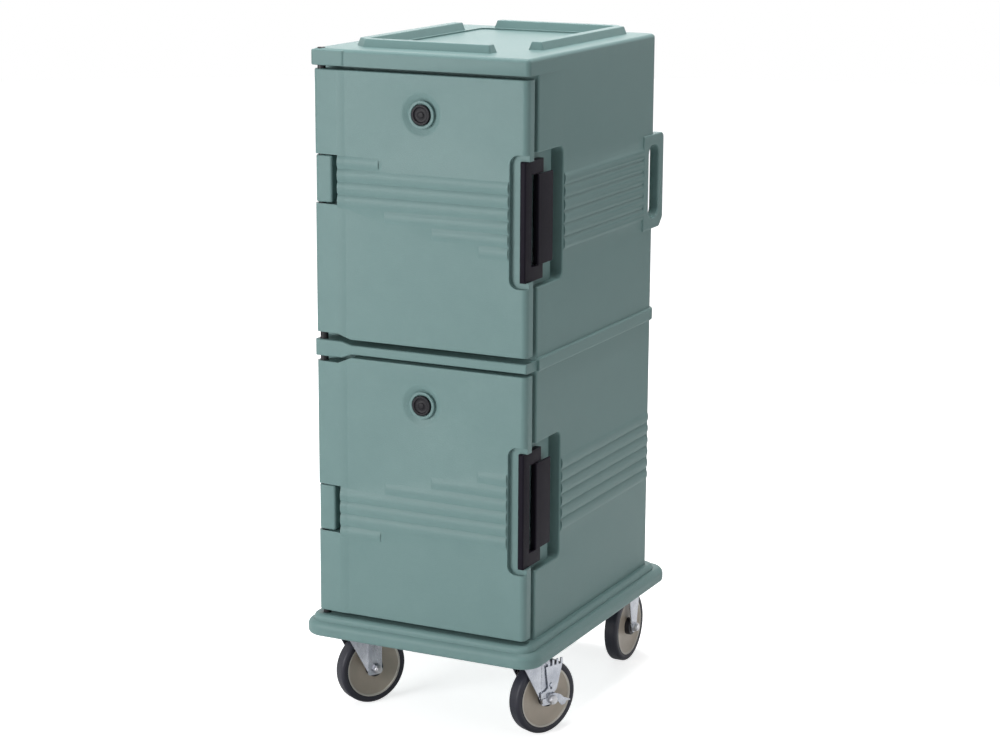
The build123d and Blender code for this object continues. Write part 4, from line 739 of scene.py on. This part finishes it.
bolt_head = put(bolt_tree, "GeometryNodeMeshCylinder",
                {"Vertices": 6, "Radius": bolt_in.outputs["Head radius"], "Depth": bolt_in.outputs["Head height"]})
half_head = put(bolt_tree, "ShaderNodeMath", {0: bolt_in.outputs["Head height"], 1: -0.5}, {"operation": "MULTIPLY"})
head_drop = put(bolt_tree, "ShaderNodeMath", {0: half_head.outputs[0], 1: bolt_in.outputs["Washer thickness"]},
                {"operation": "SUBTRACT"})
head_down = put(bolt_tree, "ShaderNodeCombineXYZ", {"Z": head_drop.outputs[0]})
head_placed = put(bolt_tree, "GeometryNodeTransform",
                  {"Geometry": bolt_head.outputs["Mesh"], "Translation": head_down.outputs[0]})
bolt_washer = put(bolt_tree, "GeometryNodeMeshCylinder",
                  {"Vertices": 32, "Radius": bolt_in.outputs["Washer radius"],
                   "Depth": bolt_in.outputs["Washer thickness"]})
half_washer = put(bolt_tree, "ShaderNodeMath", {0: bolt_in.outputs["Washer thickness"], 1: -0.5},
                  {"operation": "MULTIPLY"})
washer_down = put(bolt_tree, "ShaderNodeCombineXYZ", {"Z": half_washer.outputs[0]})
washer_placed = put(bolt_tree, "GeometryNodeTransform",
                    {"Geometry": bolt_washer.outputs["Mesh"], "Translation": washer_down.outputs[0]})
bolt_whole = put(bolt_tree, "GeometryNodeJoinGeometry", {})
bolt_tree.links.new(head_placed.outputs[0], bolt_whole.inputs[0])
bolt_tree.links.new(washer_placed.outputs[0], bolt_whole.inputs[0])
bolt_copies = put(bolt_tree, "GeometryNodeInstanceOnPoints",
                  {"Points": bolt_points.outputs[0], "Instance": bolt_whole.outputs[0]})
close_growth(bolt_tree, bolt_in, bolt_out, bolt_copies.outputs[0])
plate_centres = []
for node in ("front_left_caster_plate", "front_right_caster_plate", "rear_left_caster_frame",
             "rear_right_caster_frame"):
    low, high = (Vector(point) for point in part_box(node))
    plate_centres.append(((low.x + high.x) / 2, (low.y + high.y) / 2, high.z - plate_thickness))
bolt_drop = plate_centres[0][2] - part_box("caster_bolts")[0][2]
grow(bolt_tree, "caster_bolt_heads", plate_centres,
     {"Spread X": bolt_spread[0], "Spread Y": bolt_spread[1], "Head radius": bolt_head_radius,
      "Head height": bolt_drop - bolt_washer_thickness, "Washer radius": bolt_washer_radius,
      "Washer thickness": bolt_washer_thickness, "Paint": zinc},
     "cabinet", "caster_bolts")

# Race balls
# Fourteen hardened balls run between the plate and the crown of each front fork.
ball_count = 14
ball_radius = 0.0029
ball_track = 0.025
ball_tree, ball_in, ball_out = new_growth("balls round a race", [
    ("Ball radius", "NodeSocketFloat"), ("Track radius", "NodeSocketFloat"), ("Count", "NodeSocketInt")])
ball_ring = put(ball_tree, "GeometryNodeMeshCircle",
                {"Vertices": ball_in.outputs["Count"], "Radius": ball_in.outputs["Track radius"]})
ball_points = put(ball_tree, "GeometryNodeInstanceOnPoints",
                  {"Points": ball_in.outputs["Places"], "Instance": ball_ring.outputs["Mesh"]})
ball_real = put(ball_tree, "GeometryNodeRealizeInstances", {"Geometry": ball_points.outputs[0]})
ball = put(ball_tree, "GeometryNodeMeshUVSphere",
           {"Segments": 16, "Rings": 10, "Radius": ball_in.outputs["Ball radius"]})
ball_smooth = put(ball_tree, "GeometryNodeSetShadeSmooth", {"Geometry": ball.outputs["Mesh"]})
ball_copies = put(ball_tree, "GeometryNodeInstanceOnPoints",
                  {"Points": ball_real.outputs[0], "Instance": ball_smooth.outputs[0]})
close_growth(ball_tree, ball_in, ball_out, ball_copies.outputs[0])
for corner_name in ("front_left", "front_right"):
    low, high = (Vector(point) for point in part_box(corner_name + "_kingpin"))
    race_low, race_high = (Vector(point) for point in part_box(corner_name + "_race_balls"))
    race_centre = ((low.x + high.x) / 2, (low.y + high.y) / 2, (race_low.z + race_high.z) / 2)
    grow(ball_tree, corner_name + "_ball_set", [race_centre],
         {"Ball radius": ball_radius, "Track radius": ball_track, "Count": ball_count, "Paint": pin_steel},
         corner_name + "_swivel", corner_name + "_race_balls")

# Wheels
# A dark grey elastomer tyre, moulded round a dished taupe hub with a thin rim, on a black nylon bearing.
tyre_rubber = plastic("tyre rubber", (0.023, 0.0235, 0.035, 1.0), (0.016, 0.0165, 0.026, 1.0),
                      (0.065, 0.066, 0.080, 1.0), 1100.0, 0.3, 0.42, 0.35, 0.3, 0.0008)
hub_plastic = plastic("hub polyolefin", (0.46, 0.40, 0.33, 1.0), (0.40, 0.35, 0.285, 1.0),
                      (0.52, 0.48, 0.42, 1.0), 1000.0, 0.3, 0.30, 0.5, 0.6, 0.0012)
# A lighter taupe on the hub's thin rim lip: a painted highlight round the rim.
hub_lip_painted_highlight = plastic("hub lip, painted highlight", (0.70, 0.665, 0.60, 1.0), (0.62, 0.59, 0.53, 1.0),
                      (0.75, 0.72, 0.66, 1.0), 1000.0, 0.2, 0.25, 0.5, 0.8, 0.0008)
lip_highlight_inner_radius = 0.0586
sleeve_nylon = plastic("bearing nylon", (0.018, 0.017, 0.022, 1.0), (0.012, 0.011, 0.015, 1.0),
                       (0.07, 0.07, 0.08, 1.0), 1500.0, 0.2, 0.40, 0.35, 0.3, 0.0008)
tyre_steps = 144
tread_radius = 0.0762
tyre_bore = 0.0627
tyre_half = 0.0150
tyre_edge = 0.0006
shoulder_round = 0.0070
bead_line = 0.0652
bead_line_depth = 0.0005
spins = {joint["child"]: joint for joint in frame["record"]["behaviour"]["joints"]}
for corner_name in ("front_left", "front_right", "rear_left", "rear_right"):
    tyre = corner_name + "_tyre"
    spin = spins[corner_name + "_wheel"]
    half_outline = [(tyre_bore, 0.0), (tyre_bore, tyre_half - tyre_edge), (tyre_bore + tyre_edge, tyre_half)]
    half_outline += [(bead_line - tyre_edge, tyre_half), (bead_line, tyre_half - bead_line_depth)]
    half_outline += [(bead_line + tyre_edge, tyre_half)]
    half_outline += arc(tread_radius - shoulder_round, tyre_half - shoulder_round, shoulder_round, 90, 0, 10)
    outline = half_outline + [(radius, -along) for radius, along in reversed(half_outline)][:-1]
    piece = settle(turned(outline, tyre_steps, spin["pos_m"], spin["axis"], True), tyre + "_turned",
                   tyre_rubber, nodes[tyre]["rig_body"], 50.0)
    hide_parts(tyre)
    hub = moulding(corner_name + "_hub", hub_plastic)
    # Faces of the hub beyond the lip's inner radius take the painted highlight.
    hub.data.materials.append(hub_lip_painted_highlight)
    axle_line = Vector(spin["axis"]).normalized()
    for face in hub.data.polygons:
        from_axle = (face.center - Vector(spin["pos_m"])).cross(axle_line).length
        face.material_index = int(from_axle > lip_highlight_inner_radius)
    moulding(corner_name + "_bearing", sleeve_nylon)
